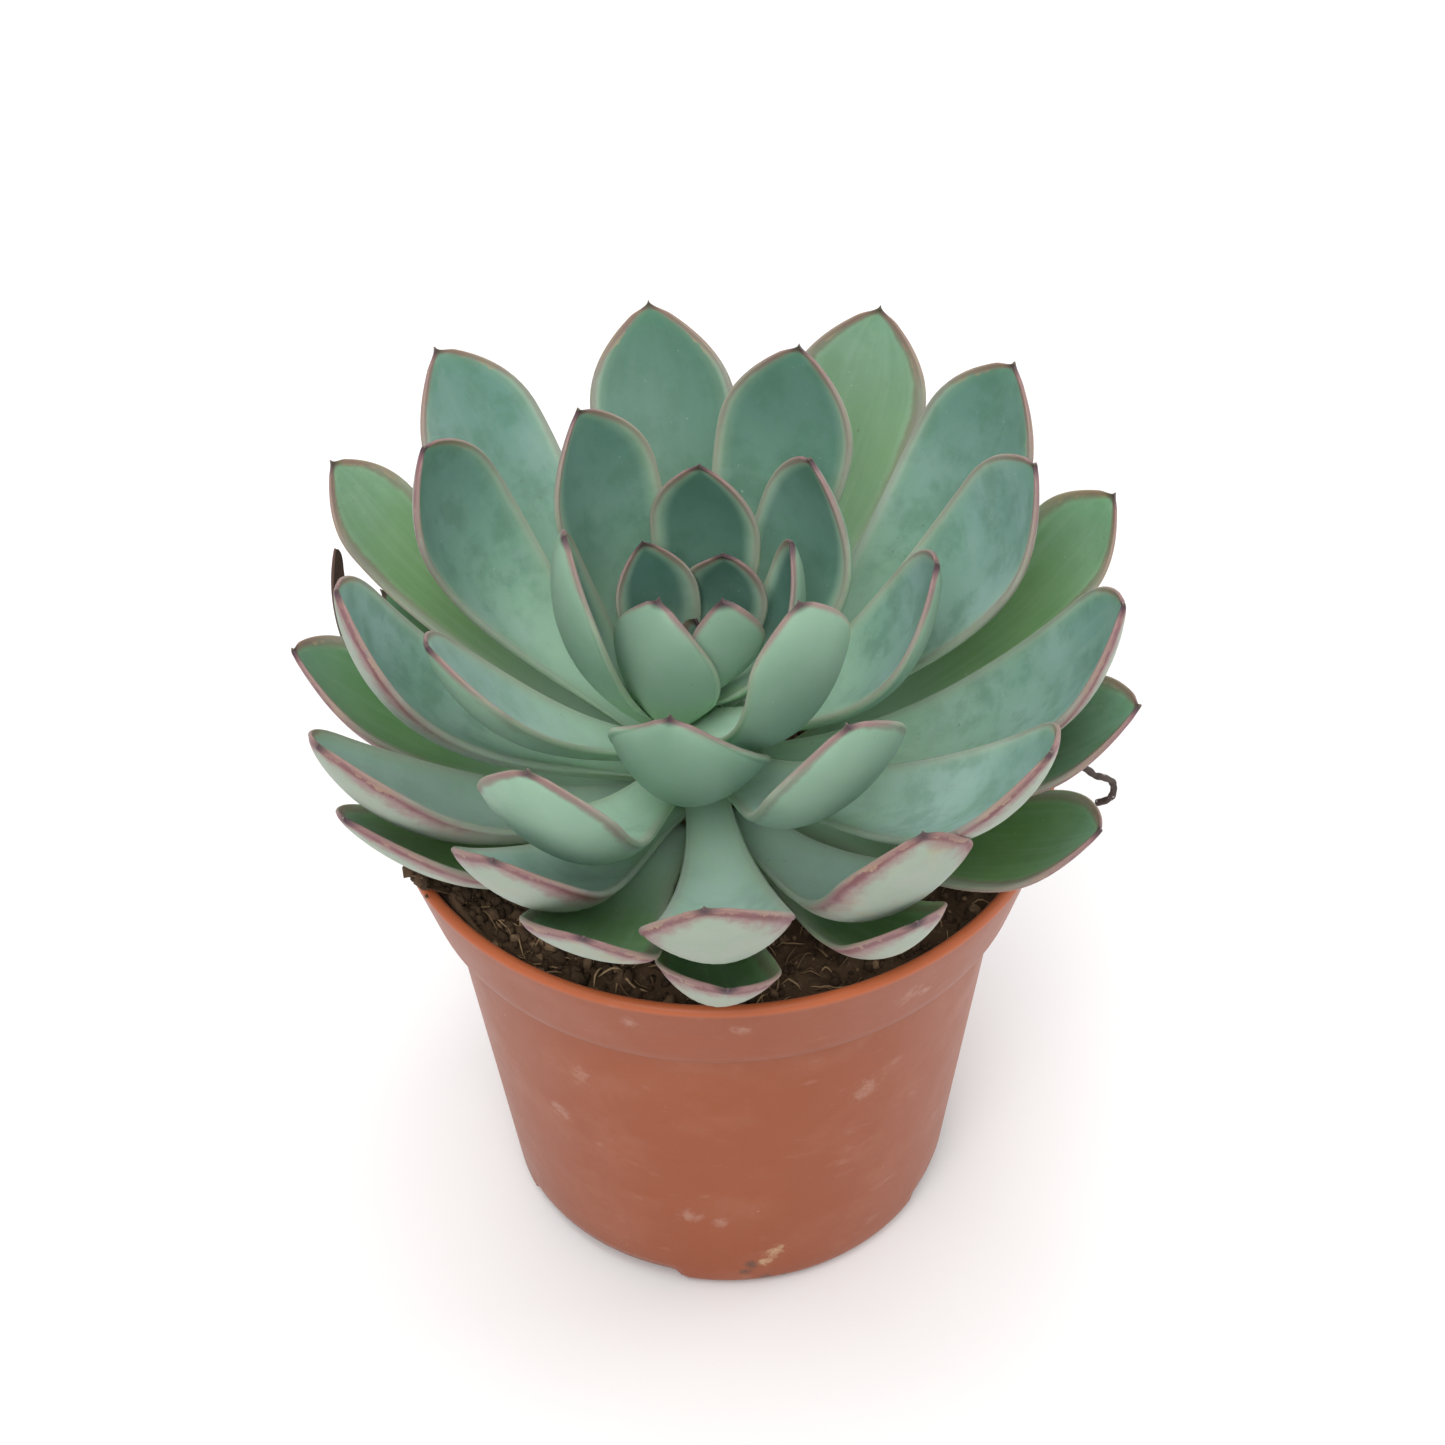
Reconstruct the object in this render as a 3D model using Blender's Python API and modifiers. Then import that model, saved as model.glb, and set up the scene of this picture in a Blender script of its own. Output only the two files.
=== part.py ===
"""Potted apus echeveria: a nursery pot, peat, a short stem and a rosette of separate leaves.

Blender 4.5, metres, +Z up. The front is -Y. Each piece is modelled round the pot's own middle, with
the pot's foot on z = 0, and then moved so that the middle of the whole plant stands over the origin.
"""

import math

import bmesh
import bpy
import numpy as np
from mathutils import Matrix, Vector

MM = 0.001
GAP = 0.3 * MM              # clearance between pieces that touch
POT_PLACE = Vector((1.43, 12.93, 0.0)) * MM    # the leaning rosette reaches further than the pot

# Pot: a 12 cm nursery pot
RIM_RADIUS = 60.0 * MM
POT_HEIGHT = 96.4 * MM
COLLAR_HEIGHT = 18.5 * MM
COLLAR_FOOT_RADIUS = 54.9 * MM
LEDGE = 3.2 * MM            # how far the collar stands out over the body
FOOT_RADIUS = 41.4 * MM
FOOT_ROUND = 4.8 * MM
WALL = 1.3 * MM
LIP_WIDTH = 2.4 * MM
LIP_ROUND = 1.2 * MM
FLOOR_LIFT = 5.2 * MM       # underside of the pot's floor above the table
FLOOR_THICK = 1.6 * MM
ARCH_TURN = math.radians(231.0)   # middle of the first raised arch of the foot, at the front left
ARCH_SPAN = math.radians(58.0)
ARCH_COUNT = 3
DRAIN_RADIUS = 3.5 * MM
DRAIN_RING = 24.0 * MM
DRAIN_COUNT = 6
POT_SEGMENTS = 60

BODY_TOP_RADIUS = COLLAR_FOOT_RADIUS - LEDGE
LEDGE_HEIGHT = POT_HEIGHT - COLLAR_HEIGHT


def clear_scene():
    for old in list(bpy.data.objects):
        bpy.data.objects.remove(old, do_unlink=True)


def collection(name, hidden=False):
    made = bpy.data.collections.new(name)
    bpy.context.scene.collection.children.link(made)
    made.hide_render = hidden
    return made


def finish(name, colour, roughness):
    """A Principled material with one colour."""
    material = bpy.data.materials.new(name)
    material.use_nodes = True
    shader = material.node_tree.nodes["Principled BSDF"]
    shader.inputs["Base Color"].default_value = (*colour, 1.0)
    shader.inputs["Roughness"].default_value = roughness
    shader.inputs["Metallic"].default_value = 0.0
    return material


def place(name, mesh, material, home):
    """Link a mesh into a collection as a smooth, named object."""
    item = bpy.data.objects.new(name, mesh)
    home.objects.link(item)
    if material is not None:
        mesh.materials.append(material)
    mesh.polygons.foreach_set("use_smooth", [True] * len(mesh.polygons))
    return item


def turned(name, profile, segments, home, material=None):
    """A turned solid: the profile runs up the inside, over the top and down the outside."""
    mesh = bpy.data.meshes.new(name)
    points = [(radius, 0.0, height) for radius, height in profile]
    mesh.from_pydata(points, [(i, i + 1) for i in range(len(points) - 1)], [])
    item = bpy.data.objects.new(name, mesh)
    home.objects.link(item)
    screw = item.modifiers.new("turn", "SCREW")
    screw.steps = segments
    screw.render_steps = segments
    screw.use_merge_vertices = True
    screw.merge_threshold = 0.00001
    if material is not None:
        mesh.materials.append(material)
    return item


def body_radius(height):
    """Outer radius of the tapered body at a height."""
    share = height / LEDGE_HEIGHT
    return FOOT_RADIUS + (BODY_TOP_RADIUS - FOOT_RADIUS) * share


def pot_profile():
    """From the middle of the floor up the inside, over the lip and down the outside."""
    floor_top = FLOOR_LIFT + FLOOR_THICK
    inner = [
        (0.0, floor_top),
        (body_radius(floor_top) - WALL - 3.0 * MM, floor_top),
        (body_radius(floor_top + 3.0 * MM) - WALL, floor_top + 3.0 * MM),
        (BODY_TOP_RADIUS - WALL, LEDGE_HEIGHT - 1.5 * MM),
        (COLLAR_FOOT_RADIUS - WALL, LEDGE_HEIGHT + WALL),
        (RIM_RADIUS - LIP_WIDTH - 0.2 * MM, POT_HEIGHT - 2.2 * MM),
    ]
    lip = [(RIM_RADIUS - LIP_WIDTH, POT_HEIGHT - 0.8 * MM),
           (RIM_RADIUS - LIP_WIDTH + 0.6 * MM, POT_HEIGHT - 0.15 * MM)]
    centre = RIM_RADIUS - LIP_ROUND
    for step in range(4):
        angle = math.radians(90.0 - 30.0 * step)
        lip.append((centre + LIP_ROUND * math.cos(angle), POT_HEIGHT - LIP_ROUND + LIP_ROUND * math.sin(angle)))
    outer = [
        (RIM_RADIUS - 0.5 * MM, POT_HEIGHT - 2.6 * MM),
        (COLLAR_FOOT_RADIUS + 0.1 * MM, LEDGE_HEIGHT + 0.5 * MM),
        (COLLAR_FOOT_RADIUS - 0.4 * MM, LEDGE_HEIGHT),
        (BODY_TOP_RADIUS + 0.3 * MM, LEDGE_HEIGHT - 0.3 * MM),
        (BODY_TOP_RADIUS - 0.15 * MM, LEDGE_HEIGHT - 1.2 * MM),
    ]
    rim = body_radius(FOOT_ROUND)
    for step in range(5):
        angle = math.radians(22.5 * step)
        outer.append((rim - FOOT_ROUND + FOOT_ROUND * math.cos(angle), FOOT_ROUND - FOOT_ROUND * math.sin(angle)))
    foot = [(rim - FOOT_ROUND - 1.6 * MM, 0.0),
            (rim - FOOT_ROUND - 2.4 * MM, 1.0 * MM),
            (rim - FOOT_ROUND - 2.8 * MM, FLOOR_LIFT),
            (0.0, FLOOR_LIFT)]
    return inner + lip + outer + foot


def arch_cutter(turn, home):
    """A wedge with sloping ends that raises one stretch of the foot."""
    half = ARCH_SPAN / 2
    near, far = 30.0 * MM, 52.0 * MM
    low, high = -2.0 * MM, FLOOR_LIFT - 0.05 * MM
    slope = 0.13
    shape = bmesh.new()
    columns = 9
    rings = []
    for i in range(columns):
        share = i / (columns - 1) * 2 - 1
        top = turn + share * (half - slope)
        foot = turn + share * half
        rings.append([shape.verts.new((radius * math.cos(angle), radius * math.sin(angle), height))
                      for radius, angle, height in ((near, foot, low), (far, foot, low),
                                                    (far, top, high), (near, top, high))])
    for a, b in zip(rings, rings[1:]):
        for k in range(4):
            shape.faces.new((a[k], a[(k + 1) % 4], b[(k + 1) % 4], b[k]))
    shape.faces.new(rings[0])
    shape.faces.new(rings[-1])
    bmesh.ops.recalc_face_normals(shape, faces=shape.faces)
    mesh = bpy.data.meshes.new("arch_cutter")
    shape.to_mesh(mesh)
    shape.free()
    cutter = bpy.data.objects.new("arch_cutter", mesh)
    cutter.display_type = "WIRE"
    home.objects.link(cutter)
    return cutter


def rod(name, radius, low, high, x, y, segments, home):
    """An upright cylinder from low to high, as a cutter."""
    shape = bmesh.new()
    bmesh.ops.create_cone(shape, cap_ends=True, segments=segments, radius1=radius, radius2=radius,
                          depth=high - low)
    bmesh.ops.translate(shape, verts=shape.verts, vec=Vector((x, y, (low + high) / 2)))
    mesh = bpy.data.meshes.new(name)
    shape.to_mesh(mesh)
    shape.free()
    cutter = bpy.data.objects.new(name, mesh)
    cutter.display_type = "WIRE"
    home.objects.link(cutter)
    return cutter


def cut(item, cutter):
    boolean = item.modifiers.new(cutter.name, "BOOLEAN")
    boolean.operation = "DIFFERENCE"
    boolean.solver = "EXACT"
    boolean.object = cutter


def make_pot(parts, cutters):
    """The moulded pot: turned, with three arches cut in the foot and drain holes in the floor."""
    material = finish("terracotta_plastic", (0.52, 0.16, 0.075), 0.45)
    pot = turned("pot", pot_profile(), POT_SEGMENTS, parts, material)
    for k in range(ARCH_COUNT):
        cut(pot, arch_cutter(ARCH_TURN + k * math.tau / ARCH_COUNT, cutters))
    for k in range(DRAIN_COUNT):
        turn = k * math.tau / DRAIN_COUNT
        cut(pot, rod("drain", DRAIN_RADIUS, 0.0, 12.0 * MM, DRAIN_RING * math.cos(turn),
                     DRAIN_RING * math.sin(turn), 12, cutters))
    return pot


# Soil: peat that fills the pot, a little below the rim in front and heaped over it at the left
SOIL_LEVEL = 88.4 * MM
LUMP_HEIGHT = 0.45 * MM
HEAP_TURN = math.radians(205.0)
HEAP_SPREAD = math.radians(19.0)
HEAP_HEIGHT = 10.5 * MM
SOIL_GAP = 0.35 * MM
SOIL_SEGMENTS = 48
LIP_CLEAR = POT_HEIGHT + 0.5 * MM   # underside of the peat that lies on the lip

# Rosette: leaves spiral down a short stem that leans to the front, the youngest at its top
AXIS_FOOT = Vector((-1.0, -6.0, 90.0)) * MM
AXIS_DRIFT = Vector((-0.1, 0.1, 0.0))     # how far the stem wanders for each unit of height
LEAN = Matrix.Rotation(math.radians(11.0), 3, "X") @ Matrix.Rotation(math.radians(-3.5), 3, "Y")
CROWN_HEIGHT = 37.0 * MM    # height of the youngest leaf's root along the stem
LAST_AGE = 44.0
LEAF_BEND = 1.8             # a leaf bends little at its root and most at its tip
LEAF_ROOT = 0.32            # width at the root against the widest
LEAF_END = 0.75             # length of the rounded end in leaf widths
LEAF_STATIONS = (0.0, 0.07, 0.16, 0.28, 0.40, 0.51, 0.61, 0.70, 0.78, 0.85, 0.905, 0.95, 0.98)
LEAF_ACROSS = (-1.0, -0.7, -0.35, 0.0, 0.35, 0.7, 1.0)
STEM_TOP_RADIUS = 2.7 * MM
STEM_SPREAD = 6.5 * MM      # how much thicker the stem is where its oldest leaves sit
STEM_DEPTH = 10.0 * MM      # length that stands in the soil
STEM_SEGMENTS = 14

# How each leaf strays from what is usual at its age, from the youngest to the oldest: its turn
# round the stem in degrees, rise and curl in degrees, length and width in mm, depth of the cup
# in hundredths of its width, roll in degrees, and sideways bend in hundredths of its length.
LEAVES = (
    (322, -21, 15, 4, -1, -3, -62, 12),
    (33, -15, 6, 2, 0, 7, 45, -1),
    (115, 5, -18, -1, -2, 48, -8, -2),
    (356, -24, 7, 6, 0, 29, 10, 15),
    (247, 13, 23, -4, 2, 27, -17, 0),
    (305, -25, 17, 29, -1, 25, -8, 6),
    (67, -1, 0, 3, -1, 21, 9, 4),
    (189, 5, 14, 5, 0, 38, 4, -8),
    (32, -15, 1, 4, 4, 4, 0, 8),
    (272, -22, 20, 2, 4, 46, -23, -2),
    (124, 7, -6, 7, -1, 40, 15, -5),
    (348, -15, -2, 11, 1, 26, 4, 1),
    (60, -11, -9, 10, 0, 24, 5, 1),
    (208, -3, -7, 6, -5, 36, 4, -1),
    (303, -12, 5, 14, 0, 21, -4, 0),
    (248, -11, 8, 20, -3, 26, -1, 0),
    (6, -7, -3, 18, -1, 25, 6, -2),
    (151, -4, 19, 6, -2, 38, 8, 2),
    (321, -16, -7, 19, -2, 35, 2, 1),
    (196, 1, 11, 11, -1, 36, -1, -2),
    (277, -16, 7, 11, -3, 36, -4, -5),
    (92, -7, -25, -2, -1, 16, -7, 3),
    (348, -13, 5, 10, -1, 34, 0, 1),
    (240, -2, 3, -2, -3, 30, 5, 4),
    (33, -4, -1, 4, 0, 26, 1, 3),
    (129, 4, -12, 0, -1, 26, 15, -3),
    (301, -7, 19, 1, -4, 31, -15, 6),
    (208, 2, 9, 1, -3, 42, 18, -1),
    (345, -5, -18, -3, -2, 31, -4, 2),
    (65, -5, -2, 4, -1, 18, 2, -4),
    (245, 7, 2, -5, -3, 14, 3, 16),
    (180, 3, -4, -8, -3, 30, 14, -5),
    (142, -3, -5, 2, -7, 15, 15, 2),
    (338, -12, -9, -10, -3, 20, -10, -5),
    (19, 3, -1, 3, -7, 39, 8, 1),
    (212, 10, 5, -8, -3, 22, 19, -5),
    (303, 3, 14, -9, -9, 43, -8, -1),
    (267, 7, 9, -12, -7, 59, -5, 11),
)
# The same for the low leaves that the others hide
HIDDEN_LEAVES = (
    (102, 3, -1, -12, -1, 31, 0, 0),
    (58, -3, -2, -12, -2, 14, 0, 0),
    (148, -2, -20, -18, 0, 28, 0, 0),
    (14, -16, 0, -14, 0, 22, 0, 0),
    (82, -6, -6, -16, -4, 20, 0, 0),
    (122, -6, -6, -18, -5, 20, 0, 0),
)
HIDDEN_AGES = (35.5, 36.5, 37.5, 38.5, 41.5, 42.5)

# Dry flower stalk: from the stem out between the leaves to a hooked end at the right, in mm
STALK_RADIUS = 0.7 * MM
STALK_PATH = (
    (6.5, -6.5, 103), (8.5, -6, 104), (14, -5, 106), (17, -5, 106.5), (26.5, -5.5, 106.5),
    (30, -6, 106.5), (35, -7, 106.5), (41.5, -8.5, 107), (48.5, -10, 108), (56, -12, 108.5),
    (61.5, -13.5, 108), (64, -14, 107), (65.5, -14, 105.5), (67, -14, 105), (68.5, -14, 104),
    (69, -14, 102.5), (68.8, -14, 100.5), (68, -13, 98.5), (66.6, -12, 97),
)


def loft(name, rings, home, material):
    """A closed solid through rings of points in triangles, with flat ends."""
    shape = bmesh.new()
    rows = [[shape.verts.new(point) for point in ring] for ring in rings]
    count = len(rows[0])
    for a, b in zip(rows, rows[1:]):
        for k in range(count):
            far = (k + 1) % count
            shape.faces.new((a[k], a[far], b[far]))
            shape.faces.new((a[k], b[far], b[k]))
    shape.faces.new(rows[0])
    shape.faces.new(rows[-1])
    bmesh.ops.recalc_face_normals(shape, faces=shape.faces)
    mesh = bpy.data.meshes.new(name)
    shape.to_mesh(mesh)
    shape.free()
    return place(name, mesh, material, home)


def lean(points, root):
    """Carry points from an upright rosette to the leaning stem, for a leaf rooted at a height."""
    return points @ np.array(LEAN).T + np.array(AXIS_FOOT + AXIS_DRIFT * root)


def stem_ring(reach, height, count):
    """A ring of points round the leaning stem at a height along it."""
    turns = np.arange(count) * math.tau / count
    ring = np.column_stack([reach * np.cos(turns), reach * np.sin(turns), np.full(count, height)])
    return lean(ring, height)


def stem_radius(height):
    """The stem thickens downward with its leaves, and is slimmer where cupped roots clasp it."""
    age = LAST_AGE * (1 - max(height, 0.0) / CROWN_HEIGHT) ** (1 / 1.15)
    clasp = np.interp(height / MM, (17, 20, 31, 35), (0.15, 1.05, 1.0, 0.25)) * MM
    return STEM_TOP_RADIUS + STEM_SPREAD * min(1.0, age / 22.0) - clasp


def heap(turns):
    """How strongly the peat is heaped over the rim at each turn, from 0 to 1."""
    off = (turns - HEAP_TURN + math.pi) % math.tau - math.pi
    return np.exp(-(off / HEAP_SPREAD) ** 2)


def soil_rise(x, y):
    """Height of the peat's top: small lumps on a level, and the heap at the left rim."""
    reach = np.hypot(x, y) / RIM_RADIUS
    lumps = np.sin(x / (5.1 * MM) + 1.3) * np.cos(y / (4.3 * MM)) + np.sin((x + y) / (2.9 * MM)) * 0.6
    return (SOIL_LEVEL + LUMP_HEIGHT * lumps
            + HEAP_HEIGHT * heap(np.arctan2(y, x)) * np.clip(reach * 2.2 - 1.2, 0, 1) ** 1.5)


def soil_edge(turns):
    """Rings from the peat's line on the wall to its outermost edge, over the lip where heaped."""
    low, high = LEDGE_HEIGHT + WALL, POT_HEIGHT - 2.2 * MM
    near, far = COLLAR_FOOT_RADIUS - WALL - SOIL_GAP, RIM_RADIUS - LIP_WIDTH - 0.2 * MM - SOIL_GAP
    level = soil_rise(RIM_RADIUS * np.cos(turns), RIM_RADIUS * np.sin(turns))
    wall = near + (far - near) * np.clip((level - low) / (high - low), 0, 1)
    over = np.clip((level - LIP_CLEAR) / (1.5 * MM), 0, 1)
    rings = [(wall, np.minimum(level, high))]
    for step, reach, height in ((0.4, 57.0 * MM, LIP_CLEAR), (0.9, 60.5 * MM, LIP_CLEAR),
                                (1.5, 60.9 * MM, LIP_CLEAR + 1.1 * MM)):
        rings.append((wall - step * MM + (reach - wall + step * MM) * over,
                      level + (height - level) * over))
    return [np.column_stack([reach * np.cos(turns), reach * np.sin(turns), height])
            for reach, height in rings]


def make_soil(parts):
    """Peat as one loft: up the pot's wall, over the top and down into the hole for the stem."""
    turns = np.arange(SOIL_SEGMENTS) * math.tau / SOIL_SEGMENTS
    floor_top = FLOOR_LIFT + FLOOR_THICK
    rings = []
    for reach, height in ((body_radius(floor_top) - WALL - 3.3 * MM, floor_top + GAP),
                          (body_radius(floor_top + 3.0 * MM) - WALL - SOIL_GAP, floor_top + 3.3 * MM),
                          (BODY_TOP_RADIUS - WALL - SOIL_GAP, LEDGE_HEIGHT - 1.3 * MM),
                          (COLLAR_FOOT_RADIUS - WALL - SOIL_GAP, LEDGE_HEIGHT + WALL + GAP)):
        rings.append(np.column_stack([reach * np.cos(turns), reach * np.sin(turns),
                                      np.full(SOIL_SEGMENTS, height)]))
    rings += soil_edge(turns)
    hole = stem_radius(0.0) + SOIL_GAP
    mouth = stem_ring(hole, -1.5 * MM, SOIL_SEGMENTS)
    edge = rings[-1]
    for share in (0.97, 0.88, 0.75, 0.6, 0.45, 0.3, 0.0):
        ring = mouth + (edge - mouth) * share
        ring[:, 2] = soil_rise(ring[:, 0], ring[:, 1])
        rings.append(ring)
    rings.append(stem_ring(hole, -STEM_DEPTH - SOIL_GAP, SOIL_SEGMENTS))
    loft("soil", rings, parts, finish("peat", (0.055, 0.032, 0.018), 0.95))


def make_stem(parts):
    """The short stem: thick and round, just inside the roots of the leaves it carries."""
    heights = [-STEM_DEPTH] + [h * MM for h in (0, 6, 12, 17, 20, 26, 31, 34, 36)]
    rings = [stem_ring(stem_radius(h), h, STEM_SEGMENTS) for h in heights]
    loft("stem", rings, parts, finish("stem_skin", (0.22, 0.17, 0.10), 0.8))


class Leaf:
    """One leaf: where it sits on the stem, how it rises and curls, and its size."""

    def __init__(self, turn, rise, curl, length, width, cup, roll, sway, height, reach, fill=1.0):
        self.turn = math.radians(turn)
        self.rise = math.radians(rise)
        self.curl = math.radians(curl)
        self.length = length
        self.width = width
        self.cup = cup
        self.roll = math.radians(roll)
        self.sway = sway
        self.height = height
        self.reach = reach
        self.fill = fill

    def midrib(self, along):
        """Reach and height of the midrib and its slope, at shares of the length from the root."""
        fine = np.linspace(0.0, 1.0, 201)
        slope = self.rise + (self.curl - self.rise) * fine ** LEAF_BEND
        step = self.length / 200
        walk = []
        for start, pace in ((self.reach, np.cos(slope)), (self.height, np.sin(slope))):
            run = np.concatenate([[0.0], np.cumsum((pace[1:] + pace[:-1]) / 2)]) * step
            walk.append(np.interp(along, fine, start + run))
        return walk[0], walk[1], np.interp(along, fine, slope)

    def half_width(self, along):
        """Narrow at the root, widest past the middle, with a blunt rounded end. A fill below 1 makes
        the lower half broader."""
        from_tip = (1 - along) * self.length / (self.width / 2)
        end = 1 - np.clip(1 - from_tip / (2 * LEAF_END), 0, 1) ** 2.2
        shoulder = 1 - LEAF_END * self.width / self.length
        share = np.clip(along / shoulder, 0, 1) ** self.fill
        body = LEAF_ROOT + (1 - LEAF_ROOT) * share * share * (3 - 2 * share)
        return self.width / 2 * np.where(along > shoulder, end, body)

    def thickness(self, along):
        """Fleshy in the middle of its length and thin at the tip."""
        full = 0.6 * MM + 0.16 * self.width
        belly = 0.52 + 0.48 * np.sin(math.pi * np.clip(along * 1.05, 0, 1))
        return full * belly * np.sqrt(1 - along ** 6) * (1 - 0.35 * along) + 0.3 * MM

    def surface(self, along, across, depth):
        """Points at shares along and across the leaf, and down from its top (0) to its back (1)."""
        out, up, slope = self.midrib(along)
        outward = np.array([math.cos(self.turn), math.sin(self.turn), 0.0])
        sideways = np.array([-math.sin(self.turn), math.cos(self.turn), 0.0])
        out, up, slope, along, across, depth = (value[..., None] for value in
                                                (out, up, slope, along, across, depth))
        middle = (out * outward + self.sway * self.length * along ** 2 * sideways
                  + up * np.array([0.0, 0.0, 1.0]))
        top = np.cos(slope) * np.array([0.0, 0.0, 1.0]) - np.sin(slope) * outward
        side = np.cos(self.roll * along) * sideways + np.sin(self.roll * along) * top
        top = np.cos(self.roll * along) * top - np.sin(self.roll * along) * sideways
        wide = self.half_width(along)
        cup = self.cup * wide * (0.35 + 0.65 * np.sin(math.pi * 0.85 * along + 0.25))
        round_back = np.clip(1 - np.abs(across) ** 3, 0, 1) ** 0.62
        return lean(middle + wide * across * side + cup * np.abs(across) ** 1.8 * top
                    - self.thickness(along) * depth * round_back * top, self.height)


def usual(age, turn, rise, curl, length, width, cup, roll, sway):
    """A leaf of an age: older leaves are longer, wider, lower, more spread and narrower below."""
    share = min(max(age / LAST_AGE, 0.0), 1.0)
    return Leaf(turn, 86 - 84 * share ** 0.62 + rise, 100 - 45 * share ** 1.2 + curl,
                (20 + 62 * min(1.0, age / 24) ** 0.85 + length) * MM,
                (12 + 15.5 * min(1.0, age / 16) ** 0.7 + width) * MM,
                cup / 100, roll, sway / 100, CROWN_HEIGHT * (1 - share) ** 1.15,
                STEM_TOP_RADIUS + GAP + STEM_SPREAD * min(1.0, age / 22),
                min(1.0, 0.55 + 0.075 * max(0.0, age - 6)))


def make_leaf(name, leaf, parts, material):
    """A closed leaf in triangles: a ring of points at each station, a cap and a pointed tip."""
    across = LEAF_ACROSS + LEAF_ACROSS[-2:0:-2]
    depth = [0.0] * len(LEAF_ACROSS) + [1.0] * 3
    count, stations = len(across), len(LEAF_STATIONS)
    along = np.repeat(np.array(LEAF_STATIONS)[:, None], count, 1)
    points = leaf.surface(along, np.tile(across, (stations, 1)), np.tile(depth, (stations, 1)))
    tip = leaf.surface(np.array([1.0]), np.array([0.0]), np.array([0.5]))
    faces = []
    for k in range(count):
        far = (k + 1) % count
        for start in range(0, (stations - 1) * count, count):
            faces.append((start + k, start + count + far, start + far))
            faces.append((start + k, start + count + k, start + count + far))
        last = (stations - 1) * count
        faces.append((last + k, stations * count, last + far))
        if 3 not in (k, far):
            faces.append((3, k, far))
    mesh = bpy.data.meshes.new(name)
    mesh.from_pydata(np.concatenate([points.reshape(-1, 3), tip]).tolist(), [], faces)
    place(name, mesh, material, parts)


def make_leaves(parts):
    """The rosette: every leaf is a solid of its own."""
    skin = finish("leaf_skin", (0.20, 0.33, 0.24), 0.55)
    ages = (*range(1, len(LEAVES) + 1), *HIDDEN_AGES)
    for k, (age, row) in enumerate(zip(ages, LEAVES + HIDDEN_LEAVES)):
        make_leaf(f"leaf_{k + 1:02d}", usual(age, *row), parts, skin)


def make_bud(parts):
    """The three youngest leaves, on the stem's top, of which one shows a brown tip."""
    skin = finish("bud_skin", (0.26, 0.30, 0.18), 0.6)
    for k, (turn, rise, curl, length) in enumerate(((40, 70, 82, 13), (160, 80, 88, 11),
                                                    (280, 80, 88, 10))):
        leaf = Leaf(turn, rise, curl, length * MM, 5 * MM, 0.3, 0, 0.0, 36.6 * MM, 1.6 * MM)
        make_leaf(f"bud_leaf_{k + 1}", leaf, parts, skin)


def make_dried_leaf(parts):
    """A narrow, withered leaf at the foot of the rosette, behind the left side."""
    leaf = Leaf(177, 8, 102, 79 * MM, 7 * MM, 0.28, -8, -0.3, 2.0 * MM, 9.7 * MM)
    make_leaf("dried_leaf", leaf, parts, finish("withered_leaf", (0.10, 0.055, 0.045), 0.85))


def make_stalk(parts):
    """The dry flower stalk: a bevelled path with closed ends, taken into a mesh."""
    curve = bpy.data.curves.new("dried_stalk_path", "CURVE")
    curve.dimensions = "3D"
    curve.bevel_depth = STALK_RADIUS
    curve.bevel_resolution = 2
    curve.use_fill_caps = True
    spline = curve.splines.new("POLY")
    spline.points.add(len(STALK_PATH) - 1)
    for point, place_mm in zip(spline.points, STALK_PATH):
        point.co = (*(Vector(place_mm) * MM), 1.0)
    guide = bpy.data.objects.new("dried_stalk_path", curve)
    parts.objects.link(guide)
    bpy.context.view_layer.update()
    solid = guide.evaluated_get(bpy.context.evaluated_depsgraph_get())
    mesh = bpy.data.meshes.new_from_object(solid)
    bpy.data.objects.remove(guide, do_unlink=True)
    shape = bmesh.new()
    shape.from_mesh(mesh)
    bmesh.ops.remove_doubles(shape, verts=shape.verts, dist=0.00001)
    shape.to_mesh(mesh)
    shape.free()
    place("dried_stalk", mesh, finish("dry_stalk", (0.12, 0.10, 0.085), 0.9), parts)


clear_scene()
PARTS = collection("potted_echeveria")
CUTTERS = collection("cutters", hidden=True)
make_pot(PARTS, CUTTERS)
make_soil(PARTS)
make_stem(PARTS)
make_leaves(PARTS)
make_bud(PARTS)
make_dried_leaf(PARTS)
make_stalk(PARTS)
for item in list(PARTS.objects) + list(CUTTERS.objects):
    item.location = POT_PLACE
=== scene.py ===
import math

import bmesh
import bpy
import numpy as np
from mathutils import Matrix, Vector


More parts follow.
